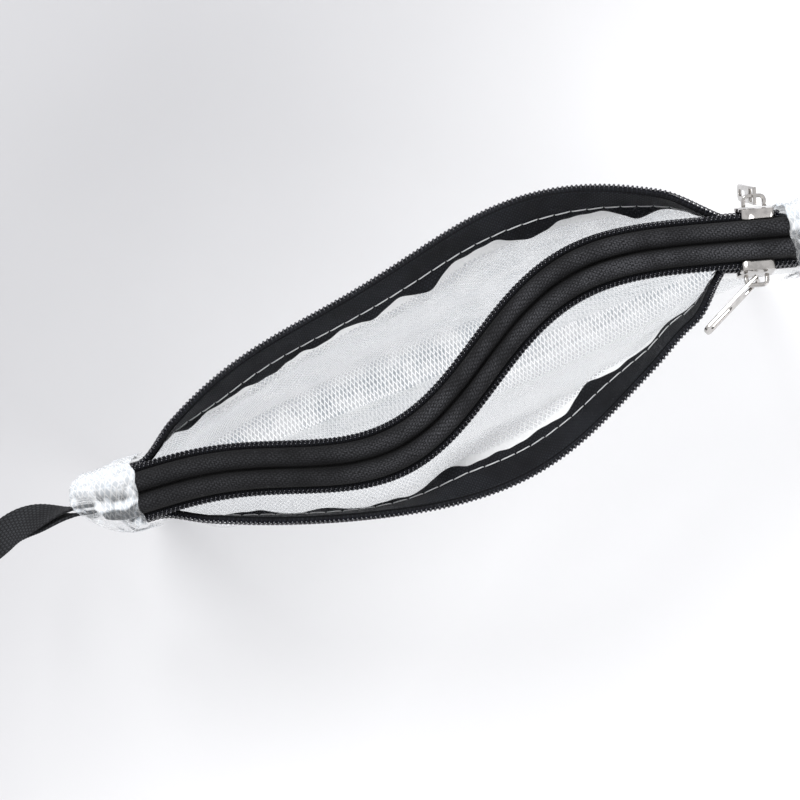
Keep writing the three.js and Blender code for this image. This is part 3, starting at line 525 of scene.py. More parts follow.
def throat_at(x, side):
    """How far the slider's post still holds the two coils apart at x."""
    throat_start, throat_run = SLIDER_X[side] - POST_BACK + 1.8, 4.2
    return THROAT * (1 - smooth(x, throat_start, throat_start + throat_run))


def on_chain(side, s, n=0.0):
    """Y and Z of a point s along the closed chain's section and n over it."""
    y = side * (CHAIN_SPREAD - s * math.cos(CHAIN_TILT) + n * math.sin(CHAIN_TILT))
    return y, CHAIN_HEIGHT + s * math.sin(CHAIN_TILT) + n * math.cos(CHAIN_TILT)


def turn_at(x, side):
    """How far the mouth is open at x, as the share of its turn that a lip has made."""
    return smooth(side * (lip_wave(x, side) - divider_wave(x)), 1, 24)


# each stop is a place along X and the share of the full roll that the lip has there
ROLL_STOPS = {
    BACK: [(-100, 0.52), (-60, 0.6), (5, 0.8), (76, 1.05), (100, 1.0)],
    FRONT: [(-100, 0.4), (-66, 0.48), (-8, 1.0), (36, 0.85), (66, 0.36), (86, 0.3), (100, 0.4)],
}


def roll_at(x, side):
    """How far a lip rolls outwards, as a share of the full roll: the lips are laid open unevenly."""
    stops = ROLL_STOPS[side]
    share = stops[0][1] + 0 * np.asarray(x, float)
    for (low, first), (high, second) in zip(stops, stops[1:]):
        share = share + (second - first) * smooth(x, low, high)
    return LIP_ROLL * share


# %% Frames of the tapes: a point on the coil edge, the way down the tape, and the way out of it
def outer_tape_frame(x, side):
    turn = turn_at(x, side)
    y, z = on_chain(side, -EDGE_TO_CHAIN - throat_at(x, side))
    upright = 90 - math.degrees(CHAIN_TILT)
    roll = np.radians(upright + (roll_at(x, side) - upright) * turn)
    # the front lip gives way beside the front pull, which needs the room when its slider moves
    inward = (side == FRONT) * PULL_ROOM * smooth(x, 58, 73) * (1 - smooth(x, 84, 97))
    edge = as_grid(x, y + lip_wave(x, side) + inward, z + LIP_RISE * turn)
    down = as_grid(0 * x, side * np.sin(roll), -np.cos(roll))
    out = as_grid(0 * x, side * np.cos(roll), np.sin(roll))
    return edge, down, out


def inner_tape_frame(x, side):
    y, z = on_chain(side, EDGE_TO_CHAIN + throat_at(x, side))
    edge = as_grid(x, y + divider_wave(x), z)
    down = as_grid(0 * x, -side * math.cos(CHAIN_TILT), math.sin(CHAIN_TILT))
    out = as_grid(0 * x, side * math.sin(CHAIN_TILT), math.cos(CHAIN_TILT))
    return edge, down, out


def across(tape, s, n=0.0):
    """Points s down the tape and n out of it, for one x or for every x."""
    edge, down, out = tape
    return edge + np.asarray(s)[..., None] * down + np.asarray(n)[..., None] * out


ARCH_START = on_chain(BACK, SLIDER_HALF + 0.5 + GAP)
ARCH_RADIUS = (ARCH_START[0] - GROOVE) / (1 + math.sin(CHAIN_TILT))
ARCH_Y = GROOVE + ARCH_RADIUS
ARCH_Z = ARCH_START[1] - ARCH_RADIUS * math.cos(CHAIN_TILT)
GROOVE_FOOT = ARCH_Z - STITCH_DISTANCE
DIVIDER_TOP = ARCH_Z - 1.5
print("arch radius", round(ARCH_RADIUS, 2), "mm, divider top", round(DIVIDER_TOP, 1), "mm")

# %% [markdown]
# Sheets.
# A sheet starts as a grid of points on its middle surface. It gets its thickness by moving a copy of
# the grid along the surface normals each way, and the rims are closed, so the sheet is a real body.
# Its map, in millimetres, runs along the pouch and across the sheet, for weave and net to follow.

# %% Sheet builder
def link(mesh, finish):
    mesh.materials.append(finish)
    mesh.shade_smooth()
    made = bpy.data.objects.new(mesh.name, mesh)
    scene.collection.objects.link(made)
    return made


def put_map(mesh, places):
    """Gives every corner of the mesh its vertex's place on the sheet, in millimetres."""
    layer = mesh.uv_layers.new(name="sheet")
    corners = np.empty(len(mesh.loops), dtype=np.int32)
    mesh.loops.foreach_get("vertex_index", corners)
    layer.data.foreach_set("uv", np.asarray(places, float)[corners].ravel())


def walked_along(line):
    """Distance walked along a line, for each of its points."""
    return np.concatenate([[0], np.cumsum(np.linalg.norm(np.diff(line, axis=0), axis=1))])


def cubic_weights(t):
    return (1 - t) ** 3, 3 * t * (1 - t) ** 2, 3 * t ** 2 * (1 - t), t ** 3


def surface_normals(grid):
    normals = np.cross(np.gradient(grid, axis=0), np.gradient(grid, axis=1))
    return normals / np.linalg.norm(normals, axis=2, keepdims=True)


def thick_sheet(name, grid, places, thickness, finish, flipped=False):
    """A closed sheet round a grid of middle points. Its inner face looks along the grid's normals,
    or the other way where it is flipped."""
    if flipped:
        grid, places = grid[:, ::-1], places[:, ::-1]
    rows, columns = grid.shape[:2]
    shift = surface_normals(grid) * (thickness / 2)
    points = np.concatenate([(grid + shift).reshape(-1, 3), (grid - shift).reshape(-1, 3)]) * MM
    index = np.arange(rows * columns).reshape(rows, columns)
    a, b, c, d = index[:-1, :-1], index[1:, :-1], index[1:, 1:], index[:-1, 1:]
    upper = np.stack([a, b, c, d], -1).reshape(-1, 4)
    lower = np.stack([a, d, c, b], -1).reshape(-1, 4) + rows * columns
    rim = np.concatenate([index[:, 0], index[-1, 1:], index[-2::-1, -1], index[0, -2:0:-1]])
    after = np.roll(rim, -1)
    edge = np.stack([after, rim, rim + rows * columns, after + rows * columns], -1)
    mesh = bpy.data.meshes.new(name)
    mesh.from_pydata(points.tolist(), [], np.concatenate([upper, lower, edge]).tolist())
    put_map(mesh, np.concatenate([places.reshape(-1, 2)] * 2))
    inner = mesh.attributes.new("inner", "FLOAT", "POINT")
    inner.data.foreach_set("value", np.repeat([1.0, 0.0], rows * columns))
    print(name, len(mesh.polygons), "faces")
    return link(mesh, finish)


def ripple(x, v, waves):
    """A few crossing sine waves, each with length along, length across, phase and height."""
    return sum(h * np.sin(2 * math.pi * (x / a + v / b) + p) for a, b, p, h in waves)


# %% [markdown]
# The outer film.
# One sheet makes the front, the base and the back. From the lap sewn on one outer tape it falls to
# the base, turns, crosses under the pouch and climbs to the other lap. Sewn film never hangs
# smooth: short pleats start at the stitches and fade downwards, and broad soft dents cross the walls.

# %% Line of the film from the base up to its lap
FLAT_STEPS, CORNER_STEPS, WALL_STEPS, LAP_STEPS = 6, 7, 58, 9


def film_half(x, side):
    """The film's middle line at each x, from mid base over its corner and up the wall to its top edge."""
    zip_x = np.clip(x, -HALF_ZIP, HALF_ZIP)
    tape = outer_tape_frame(zip_x, side)
    full = (1 - smooth(np.abs(x), HALF_ZIP, SEAM_START))[:, None]
    reach = np.minimum(1, np.abs(x) / SEAM_START)
    base = np.maximum(FILM_TO_FILM, BASE_HALF_WIDTH * np.sqrt(1 - reach ** 2))
    corner = np.minimum(BASE_CORNER, 0.85 * base)
    flat = np.linspace(0.02, 1, FLAT_STEPS + 1)[:-1] * (base - corner)[:, None]
    angle = np.radians(np.linspace(-90, 0, CORNER_STEPS + 1)[:-1])
    turn_y = (base - corner)[:, None] + corner[:, None] * np.cos(angle)
    turn_z = FILM / 2 + corner[:, None] * (1 + np.sin(angle))
    lap = across(tape, TAPE_WIDTH + 1, TAPE_TO_FILM)
    top = across(tape, STITCH_DISTANCE - PANEL_LAP, TAPE_TO_FILM)
    swell = WALL_FULLNESS * turn_at(zip_x, side)
    pull = lap + 12 * tape[1]
    controls = [(side * base, FILM / 2 + corner), (side * (base + swell), 0 * x + CHAIN_HEIGHT * 0.55),
                (pull[:, 1], pull[:, 2]), (lap[:, 1], lap[:, 2])]
    weights = cubic_weights(np.linspace(0, 1, WALL_STEPS))
    wall_y, wall_z = (sum(c[k][:, None] * w for c, w in zip(controls, weights)) for k in (0, 1))
    s = np.linspace(0, 1, LAP_STEPS + 1)[1:]
    lap_y, lap_z = (lap[:, k:k + 1] * (1 - s) + top[:, k:k + 1] * s for k in (1, 2))
    upper_y = np.concatenate([wall_y, lap_y], 1)
    upper_y = side * FILM_TO_FILM * (1 - full) + upper_y * full
    y = np.concatenate([side * flat, side * turn_y, upper_y], 1)
    z = np.concatenate([0 * flat + FILM / 2, turn_z, wall_z, lap_z], 1)
    return as_grid(x[:, None], y, z)


def from_top(half):
    """Distance down the sheet from its top edge, for every point of its lines."""
    steps = np.linalg.norm(np.diff(half, axis=1), axis=2)
    whole = np.concatenate([np.zeros((len(half), 1)), np.cumsum(steps, axis=1)], 1)
    return whole[:, -1:] - whole


# %% Outer film with its pleats and dents
def pleats(x, down, z, side):
    sewn = smooth(down, 8.5, 20) * smooth(z, 8, 40)
    ends = 1 - smooth(np.abs(x), 100, 122)
    short = ripple(x, down, [(13.1, 160, 0.3 + side, 0.24), (21.7, -210, 1.1, 0.3),
                             (8.3, 300, 2.0 * side, 0.1)])
    broad = ripple(x, down, [(83, 170, 0.7 * side, 0.8), (57, -120, 2.2, 0.5), (140, 90, 1.4 + side, 0.6)])
    fading = np.exp(-np.maximum(down - 10, 0) / 34)
    # the front wall bulges out a little below the left end of its lip
    under_lip = smooth(down, 7.5, 15) * (1 - smooth(down, 24, 70))
    swell = -2.0 * (side == FRONT) * under_lip * smooth(x, -108, -92) * (1 - smooth(x, -50, -15))
    return sewn * ends * (short * (0.25 + fading) + broad) + swell


seam_x = np.linspace(SEAM_START, HALF, 5)[1:]
film_x = np.concatenate([-seam_x[::-1], np.linspace(-SEAM_START, SEAM_START, 211), seam_x])
halves = {}
for side in (FRONT, BACK):
    half = film_half(film_x, side)
    down = from_top(half)
    half[..., 1] -= side * pleats(film_x[:, None], down, half[..., 2], side)
    halves[side] = half, as_grid(film_x[:, None], down)
grid, places = (np.concatenate([front[:, ::-1], back], 1) for front, back in zip(halves[FRONT], halves[BACK]))
outer_film = thick_sheet("outer_film_sheet", leaned(grid), places, FILM, net_film)

# %% Divider film between the two compartments
def divider_grid(x):
    """The divider from the base up to its top, which stays hidden between the inner tapes' legs."""
    sunk, seam_drop, straight_foot = 5, 8, 9
    top = DIVIDER_TOP - sunk - seam_drop * smooth(np.abs(x), HALF_ZIP, SEAM_START)
    t = np.linspace(0, 1, 64)
    z = FILM_TO_FILM + (top[:, None] - FILM_TO_FILM) * t
    share = np.clip((z - straight_foot) / (GROOVE_FOOT - straight_foot), 0, 1)
    y = shift_at(x)[:, None] * share
    soft = smooth(z, 12, 50) * (1 - smooth(z, 125, 150)) * (1 - smooth(np.abs(x), 90, 120))[:, None]
    y = y + soft * ripple(x[:, None], z, [(95, 210, 0.4, 0.9), (61, -150, 1.9, 0.6), (37, 260, 0.2, 0.25)])
    return as_grid(x[:, None], y, z), as_grid(x[:, None], top[:, None] - z + 6)


grid, places = divider_grid(film_x)
divider_film = thick_sheet("divider_film_sheet", leaned(grid), places, FILM, net_film)

# %% [markdown]
# The four zipper tapes.
# An outer tape carries its coil along one edge. It is sewn to the film along one line, and beyond that
# line its free edge is slack, so it waves in and out and its width seems to change.
# An inner tape runs beside its slider, arches over softly and dives into the groove at the divider.
# Its two legs pinch the groove shut. Its crest keeps a lighter weave as a painted highlight, its sides are
# darker as painted shade, and the whole tape is darker towards its left end as painted shade. Under the caps it
# goes on a little, narrower and lower, where it shows dark through the film.

# %% Outer tapes with a slack free edge
tape_x = np.linspace(-HALF_ZIP, HALF_ZIP, 240)
SLACK_END, SLACK_FADE = {FRONT: 56, BACK: 78}, 18


def outer_tape(side, name):
    slack_end = SLACK_END[side]
    loose = smooth(tape_x, -112, -96) * (1 - smooth(tape_x, slack_end, slack_end + SLACK_FADE))
    edge = ripple(tape_x, 0, [(33, 1, 0.5 * side, 1.0), (19, 1, 1.7, 0.8), (47, 1, 2.6 * side, 1.0),
                              (7.3, 1, 0.4, 0.16)])
    width = TAPE_WIDTH - 0.9 + loose * edge
    s = width[:, None] * np.linspace(0, 1, 20)
    slack = smooth(s, STITCH_DISTANCE, TAPE_WIDTH + 1) * loose[:, None]
    waves = 1.1 + ripple(tape_x, 0, [(23, 1, 0.9 * side, 0.9), (39, 1, 2.0, 0.8)])
    lift = slack * np.maximum(waves, 0.25)[:, None]
    sewn = -0.12 * np.exp(-((s - STITCH_DISTANCE) / 0.8) ** 2)
    bulge = 0.12 * np.sin(math.pi * np.clip(s / STITCH_DISTANCE, 0, 1)) * loose[:, None]
    tape = [part[:, None] for part in outer_tape_frame(tape_x, side)]
    grid = across(tape, s, -(lift + sewn + bulge))
    places = as_grid(tape_x[:, None], s)
    return thick_sheet(name, grid, places, CLOTH, outer_tape_cloth, flipped=side == BACK)


tapes = {f"{name}_outer_tape": outer_tape(side, f"{name}_outer_tape_cloth") for name, side in SIDES.items()}

# %% Inner tapes, arched
inner_x = np.linspace(-HALF_ZIP - 5.5, HALF_ZIP + 4.0, 250)
LEGS_APART, MORE_CREST_LIGHT = 0.055, {FRONT: 0.45, BACK: 0.0}


def inner_tape(side, name):
    edge = inner_tape_frame(inner_x, side)[0]
    wave = divider_wave(inner_x)[:, None]
    angle = np.radians(np.linspace(90 - math.degrees(CHAIN_TILT), 180, 26))
    puff = 0.35 * ripple(inner_x, 0, [(26, 1, 0.4, 0.5), (15, 1, 1.6 * side, 0.35), (61, 1, 2.2, 0.5)])
    over = np.clip(np.sin(angle), 0, 1)
    radius = ARCH_RADIUS + over * (1 - smooth(np.abs(inner_x), 86, 104))[:, None] * puff[:, None]
    arch_y = side * (ARCH_Y + radius * np.cos(angle)) + wave
    arch_z = ARCH_Z + radius * np.sin(angle)
    t = np.linspace(0, 1, 8)[:-1]
    rise_y = edge[:, 1:2] * (1 - t) + arch_y[:, :1] * t
    rise_z = edge[:, 2:3] * (1 - t) + arch_z[:, :1] * t
    leg = np.linspace(0, 1, 13)[1:]
    pinch = smooth(leg, 0.0, 0.16) * (1 - smooth(leg, 0.42, 0.62))
    leg_y = wave + side * (GROOVE - (GROOVE - TAPE / 2 + LEGS_APART) * pinch)
    leg_z = ARCH_Z + (GROOVE_FOOT - ARCH_Z) * leg + 0 * wave
    y, z = np.concatenate([rise_y, arch_y, leg_y], 1), np.concatenate([rise_z, arch_z, leg_z], 1)
    under = cap_share(inner_x)[:, None]
    y = shift_at(inner_x)[:, None] + (y - wave) * under
    z = z - CAP_DIP * (1 - under)
    walked = np.cumsum(np.hypot(np.diff(y, axis=1, prepend=y[:, :1]), np.diff(z, axis=1, prepend=z[:, :1])), 1)
    places = as_grid(inner_x[:, None], walked)
    # the crest mark is largest where the arch faces up, which is where the painted highlight goes
    crest = np.concatenate([0 * t, over ** 1.6, 0 * leg])
    grid = leaned(as_grid(inner_x[:, None], y, z))
    made = thick_sheet(name, grid, places, CLOTH, inner_tape_cloth, flipped=side == FRONT)
    # painted light: the crest highlight is weaker towards the left end, which is painted shade there, and
    # stronger on the right half of the front tape
    crest_light_along = 0.42 + 0.58 * smooth(inner_x, -75, 10) + MORE_CREST_LIGHT[side] * smooth(inner_x, 10, 50)
    worn = crest_light_along[:, None] * (crest[::-1] if side == FRONT else crest)
    made.data.attributes.new("crest", "FLOAT", "POINT").data.foreach_set("value", np.tile(worn, (2, 1)).ravel())
    return made


for name, side in SIDES.items():
    tapes[f"{name}_inner_tape"] = inner_tape(side, f"{name}_inner_tape_cloth")

# %% [markdown]
# What repeats along the tapes.
# A coil is one nylon thread wound into hundreds of equal turns, and a seam is one stitch after
# another. Both are a shape set out along a line at an even step, which is a job for Geometry Nodes:
# the line becomes a curve, the curve gets evenly spaced points, and the shape is put on each point,
# turned so that it runs along the tape and stands out of it. The result is then made a plain mesh.

# %% Node tree: a shape repeated along a line
def repeat_tree():
    tree = bpy.data.node_groups.new("repeat_along_line", "GeometryNodeTree")
    for label, kind, value in (("Line", "NodeSocketGeometry", None), ("Shape", "NodeSocketObject", None),
                               ("Count", "NodeSocketInt", 10), ("Finish", "NodeSocketMaterial", None),
                               ("Size Change", FLOAT, 0.0), ("Tilt Change", FLOAT, 0.0),
                               ("Seed", "NodeSocketInt", 1)):
        socket = tree.interface.new_socket(label, in_out="INPUT", socket_type=kind)
        if value is not None:
            socket.default_value = value
    tree.interface.new_socket("Result", in_out="OUTPUT", socket_type="NodeSocketGeometry")
    g = Graph(tree)
    source = g.add("NodeGroupInput").outputs

    def around(middle, change):
        """A random value for each point, at most the change above or below the middle."""
        drawn = g.add("FunctionNodeRandomValue", {"Seed": source["Seed"]}, data_type="FLOAT")
        for socket, way in ((2, "SUBTRACT"), (3, "ADD")):
            g.fill(drawn.inputs[socket], g.sum(way, middle, source[change]))
        return drawn.outputs[1]

    curve = g.add("GeometryNodeMeshToCurve", {"Mesh": source["Line"]}).outputs[0]
    points = g.add("GeometryNodeResampleCurve", {"Curve": curve, "Count": source["Count"]}, mode="COUNT")
    shape = g.add("GeometryNodeObjectInfo", {"Object": source["Shape"]}).outputs["Geometry"]
    outward = g.add("GeometryNodeInputNamedAttribute", {"Name": "out"}, data_type="FLOAT_VECTOR")
    along = g.add("GeometryNodeInputTangent").outputs[0]
    turned = g.add("FunctionNodeAxesToRotation", {
        "Primary Axis": outward.outputs["Attribute"], "Secondary Axis": along,
    }, primary_axis="Z", secondary_axis="X").outputs[0]
    angles = g.add("ShaderNodeCombineXYZ", {"Z": around(0.0, "Tilt Change")}).outputs[0]
    nudged = g.add("FunctionNodeRotateRotation", {"Rotation": turned}, rotation_space="LOCAL")
    g.fill(nudged.inputs["Rotate By"], g.add("FunctionNodeEulerToRotation", {0: angles}).outputs[0])
    scales = g.add("ShaderNodeCombineXYZ", {0: around(1.0, "Size Change"), 1: 1.0, 2: 1.0}).outputs[0]
    placed = g.add("GeometryNodeInstanceOnPoints", {
        "Points": points.outputs[0], "Instance": shape, "Rotation": nudged.outputs[0], "Scale": scales,
    }).outputs[0]
    real = g.add("GeometryNodeRealizeInstances", {0: placed}).outputs[0]
    done = g.add("GeometryNodeSetMaterial", {"Geometry": real, "Material": source["Finish"]}).outputs[0]
    g.fill(g.add("NodeGroupOutput").inputs[0], done)
    return tree


REPEAT = repeat_tree()


def repeated(name, line, outward, shape, count, finish, size_change=0.0, tilt_change=0.0, seed=1):
    """A plain mesh of the shape repeated along the line. line and outward have a row for each point."""
    guide_mesh = bpy.data.meshes.new(name + "_line")
    guide_mesh.from_pydata((line * MM).tolist(), [(i, i + 1) for i in range(len(line) - 1)], [])
    guide_mesh.attributes.new("out", "FLOAT_VECTOR", "POINT").data.foreach_set("vector", outward.ravel())
    guide = bpy.data.objects.new(name + "_line", guide_mesh)
    scene.collection.objects.link(guide)
    modifier = guide.modifiers.new("repeat", "NODES")
    modifier.node_group = REPEAT
    values = {"Shape": shape, "Count": count, "Finish": finish, "Size Change": size_change,
              "Tilt Change": tilt_change, "Seed": seed}
    for item in REPEAT.interface.items_tree:
        if item.item_type == "SOCKET" and item.name in values:
            modifier[item.identifier] = values[item.name]
    depsgraph = bpy.context.evaluated_depsgraph_get()
    mesh = bpy.data.meshes.new_from_object(
        guide.evaluated_get(depsgraph), preserve_all_data_layers=True, depsgraph=depsgraph)
    bpy.data.objects.remove(guide)
    mesh.name = name
    if not mesh.materials:
        mesh.materials.append(finish)
    made = bpy.data.objects.new(name, mesh)
    scene.collection.objects.link(made)
    print(name, count, "times,", len(mesh.polygons), "faces")
    return made


# %% One turn of a coil, and one stitch
def tube_faces(rings, sides):
    """Faces of a closed tube whose points lie ring after ring."""
    faces = []
    for i in range(rings - 1):
        for k in range(sides):
            n = (k + 1) % sides
            faces.append((i * sides + k, i * sides + n, (i + 1) * sides + n, (i + 1) * sides + k))
    return faces + [tuple(range(sides))[::-1], tuple((rings - 1) * sides + k for k in range(sides))]


def closed_mesh(name, points, faces, places):
    """A mesh from points in millimetres and their places, its faces turned outwards."""
    mesh = bpy.data.meshes.new(name)
    mesh.from_pydata((np.array(points) * MM).tolist(), [], faces)
    work = bmesh.new()
    work.from_mesh(mesh)
    bmesh.ops.recalc_face_normals(work, faces=work.faces)
    work.to_mesh(mesh)
    work.free()
    put_map(mesh, places)
    return mesh


def along_line(line):
    """Unit vectors along a line at each of its points."""
    ways = np.gradient(line, axis=0)
    return ways / np.linalg.norm(ways, axis=1, keepdims=True)


def rod(name, path, radii, sides):
    """A closed round rod along a few points in millimetres, for repeating."""
    path = np.asarray(path, float)
    ways = along_line(path)
    rings, verts = len(path), []
    helper = np.array([0.0, 0.0, 1.0]) if abs(ways[0][2]) < 0.8 else np.array([0.0, 1.0, 0.0])
    side_way = np.cross(ways[0], helper)
    for i in range(rings):
        side_way = side_way - ways[i] * side_way.dot(ways[i])
        side_way /= np.linalg.norm(side_way)
        up = np.cross(side_way, ways[i])
        for k in range(sides):
            a = 2 * math.pi * k / sides
            verts.append(path[i] + radii[i] * (math.cos(a) * side_way + math.sin(a) * up))
    walked = walked_along(path)
    places = [(walked[i // sides], 0.35 * (i % sides)) for i in range(rings * sides)]
    mesh = closed_mesh(name, verts, tube_faces(rings, sides), places)
    mesh.shade_smooth()
    made = bpy.data.objects.new(name, mesh)
    scene.collection.objects.link(made)
    return made


def mirrored_row(row, middle):
    """A row of values, the middle one, and the row again backwards."""
    return row + [middle] + row[::-1]


LOW, WIRE = TAPE / 2 + COIL_CLEARANCE, 0.36
lower, upper = LOW + WIRE, LOW + COIL_THICKNESS - WIRE
middle = (lower + upper) / 2
rise = [(-COIL_STEP / 2, ROOT - 0.36, middle), (-0.62, ROOT - 0.4, lower + 0.12), (-0.34, ROOT - 0.75, lower),
        (-0.2, 0.0, lower + 0.05), (-0.12, -0.7, lower + 0.22)]
fall = [(-x, y, lower + upper - z) for x, y, z in rise[::-1]]
coil_turn = rod("coil_turn", rise + [(0.0, -TIP + 0.5, middle)] + fall,
                mirrored_row([0.34, 0.35, 0.36, 0.38, 0.45], 0.5), sides=7)
locking_stitch = rod(
    "locking_stitch", [(-0.75, 0, 0), (-0.4, 0, 0.16), (0, 0, 0.2), (0.4, 0, 0.16), (0.75, 0, 0)],
    mirrored_row([0.14, 0.2], 0.22), sides=5)
seam_stitch = rod(
    "seam_stitch",
    [(-2.5, -0.16, -0.25), (-2.35, -0.14, 0.03), (-1.7, -0.05, 0.13), (0, 0.1, 0.17), (1.7, 0.1, 0.13),
     (2.35, 0.04, 0.03), (2.5, 0.02, -0.25)],
    mirrored_row([0.15, 0.18, 0.21], 0.22), sides=6)
print("shapes to repeat:", coil_turn.name, locking_stitch.name, seam_stitch.name)

# %% Coils with the thread that locks them to the tape, and the cord in their core
def on_tape(tape, s, n):
    """A line s down the tape and n off its middle, with the way out of the tape at each point. It runs
    the way that makes a repeated shape's own Y axis point down the tape."""
    line = across(tape, s)
    outward = np.cross(np.gradient(line, axis=0), tape[1])
    outward *= np.sign((outward * tape[2]).sum(1) / np.linalg.norm(outward, axis=1) ** 2)[:, None]
    outward /= np.linalg.norm(outward, axis=1, keepdims=True)
    line = line + n * outward
    if np.cross(outward[0], line[1] - line[0]).dot(tape[1][0]) < 0:
        return line[::-1], outward[::-1]
    return line, outward


LOCK_PLACE = (ROOT - 0.85, LOW + COIL_THICKNESS - 0.42)
CORE_HEIGHT, CORE_THICKNESS = 1.1, 1.6
core_s = np.linspace(-0.7, ROOT - 0.35, 6)
coils = {}
for name, side in SIDES.items():
    for which, frame_at in (("outer", outer_tape_frame), ("inner", inner_tape_frame)):
        trim = 0.0 if which == "outer" else COIL_STEP / 2
        x = np.linspace(-COIL_HALF + trim, COIL_HALF - trim, 900)
        tape = frame_at(x, side)
        line, outward = on_tape(tape, 0.0, 0.0)
        count = round(walked_along(line)[-1] / COIL_STEP) + 1
        node = f"{name}_{which}_coil"
        coils[node] = repeated(node + "_turns", line, outward, coil_turn, count, coil_nylon)
        line, outward = on_tape(tape, *LOCK_PLACE)
        coils[node + "_lock"] = repeated(
            node + "_lock_thread", line, outward, locking_stitch, count, black_thread,
            size_change=0.05, tilt_change=0.06, seed=3)
        grid = across([part[:, None] for part in frame_at(x[::3], side)], core_s[None], CORE_HEIGHT)
        coils[node + "_core_lock"] = thick_sheet(
            node + "_core_cord", grid, as_grid(x[::3, None], core_s[None]), CORE_THICKNESS,
            outer_tape_cloth, flipped=(side == BACK) == (which == "outer"))

# %% Seams that hold film and outer tapes together
seams = []
stitch_x = np.linspace(-108, 92, 900)
for name, side in SIDES.items():
    tape = outer_tape_frame(stitch_x, side)
    for face, height in (("inside", -TAPE / 2 - 0.02), ("outside", TAPE_TO_FILM + FILM / 2 + 0.05)):
        line, outward = on_tape(tape, STITCH_DISTANCE, height)
        count = round(walked_along(line)[-1] / STITCH) + 1
        faced = outward if face == "outside" else -outward
        seams.append(repeated(
            f"{name}_seam_{face}", line, faced, seam_stitch, count, white_thread,
            size_change=0.03, tilt_change=0.05, seed=5))
for shape in (coil_turn, locking_stitch, seam_stitch):
    bpy.data.objects.remove(shape)

# %% [markdown]
# Sliders, bridges and pulls.
# These are cast metal and already have the right form in the model, but its edges are razor sharp.
# Real castings have small rounds that catch the light, so each piece is copied, its doubled corners
# are merged, and its sharp edges are bevelled. The bevels also say where plating wears bright.

# %% Rounded copy of a hard node
MERGED_WITHIN, FLAT_UNDER, SHARP_OVER, CREASED_OVER = 2e-6, math.radians(3), math.radians(28), math.radians(40)


def rounded_copy(node, name, width):
    """The node's mesh in its place, its sharp edges rounded over a width in millimetres."""
    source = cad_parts[node]
    work = bmesh.new()
    work.from_mesh(source.data)
    work.transform(source.matrix_world)
    bmesh.ops.remove_doubles(work, verts=work.verts, dist=MERGED_WITHIN)
    bmesh.ops.dissolve_limit(work, angle_limit=FLAT_UNDER, verts=work.verts, edges=work.edges)
    bmesh.ops.recalc_face_normals(work, faces=work.faces)
    sharp = [e for e in work.edges if len(e.link_faces) == 2 and e.calc_face_angle() > SHARP_OVER]
    layer = work.verts.layers.float.new("edge")
    made = bmesh.ops.bevel(work, geom=sharp, offset=width * MM, segments=2, profile=0.6,
                           affect="EDGES", clamp_overlap=True)
    for vert in made["verts"]:
        vert[layer] = 1.0
    bmesh.ops.triangulate(work, faces=[f for f in work.faces if len(f.verts) > 4])
    mesh = bpy.data.meshes.new(name)
    work.to_mesh(mesh)
    work.free()
    made = link(mesh, nickel)
    mesh.set_sharp_from_angle(angle=CREASED_OVER)
    print(name, len(mesh.polygons), "faces")
    return made


HARD_PARTS = [("slider_body", "slider_casting", 0.16), ("slider_bridge", "bridge_arch", 0.28),
              ("pull_tab", "pull_plate", 0.2)]
hard_pieces = {
    f"{name}_{node}": rounded_copy(f"{name}_{node}", f"{name}_{made}", width)
    for name in SIDES for node, made, width in HARD_PARTS}

# %% [markdown]
# The end caps.
# Over each end of the zippers a piece of the same film is folded and sewn on. It was bent both ways
# while it was stitched, so it is full of creases. The cap is a line across the pouch, swept along it:
# up one wall, over the coils and down the other. Then every point is moved by a cell pattern, which
# leaves facets with ridges between them, as crushed film has.

# %% Line of a cap across the pouch
CAP_ROOM = 0.8 + FILM / 2
ELEMENT_TOP = TAPE / 2 + GAP + COIL_THICKNESS + CAP_ROOM
WALL_TOP = FLAT_STEPS + CORNER_STEPS + WALL_STEPS - 1
BELOW_SKIRT = WALL_TOP - 14


def on_arch(side, degrees):
    """Y and Z of a point of the cap over the arch of an inner tape."""
    angle, radius = math.radians(degrees), ARCH_RADIUS + (TAPE / 2 + CAP_ROOM)
    return side * (ARCH_Y + radius * math.cos(angle)), ARCH_Z + radius * math.sin(angle)


def cap_half(x, side):
    """Seven corners of the cap's line at each x, from its foot on the wall to its crest."""
    half = film_half(x, side)
    low, high, top = (half[:, row, 1:] + np.array([side * FILM_TO_FILM, 0.0])
                      for row in (BELOW_SKIRT, WALL_TOP, -1))
    share = ((SKIRT_FOOT - low[:, 1]) / (high[:, 1] - low[:, 1]))[:, None]
    foot = low + (high - low) * share
    full = cap_share(x)[:, None]
    root = EDGE_TO_CHAIN + ROOT
    corners = [on_chain(side, -root - 0.6, ELEMENT_TOP), on_chain(side, root, ELEMENT_TOP),
               on_arch(side, 42), on_arch(side, 90)]
    shift = shift_at(x)[:, None]
    crest = [np.concatenate([y * full + shift, z - CAP_DIP * (1 - full)], 1) for y, z in corners]

    def widened(p, amount):
        room = np.maximum(0, side * (crest[0][:, 0] - p[:, 0]))
        return np.stack([p[:, 0] + side * room * amount, p[:, 1]], 1)
    return np.stack([foot, widened(high, 0.3), widened(top, 0.75)] + crest, 1)


def evened(line, count):
    """The same line with evenly spaced points."""
    walked = walked_along(line)
    at = np.linspace(0, walked[-1], count)
    return np.stack([np.interp(at, walked, line[:, k]) for k in range(line.shape[1])], 1)


def rounded(rows):
    """The rows with their corners worn round."""
    for _ in range(8):
        rows[:, 1:-1] = (rows[:, :-2] + 2 * rows[:, 1:-1] + rows[:, 2:]) / 4
    return rows


# the noise that bends the cells starts from the clock unless it is given a seed
noise.seed_set(8)


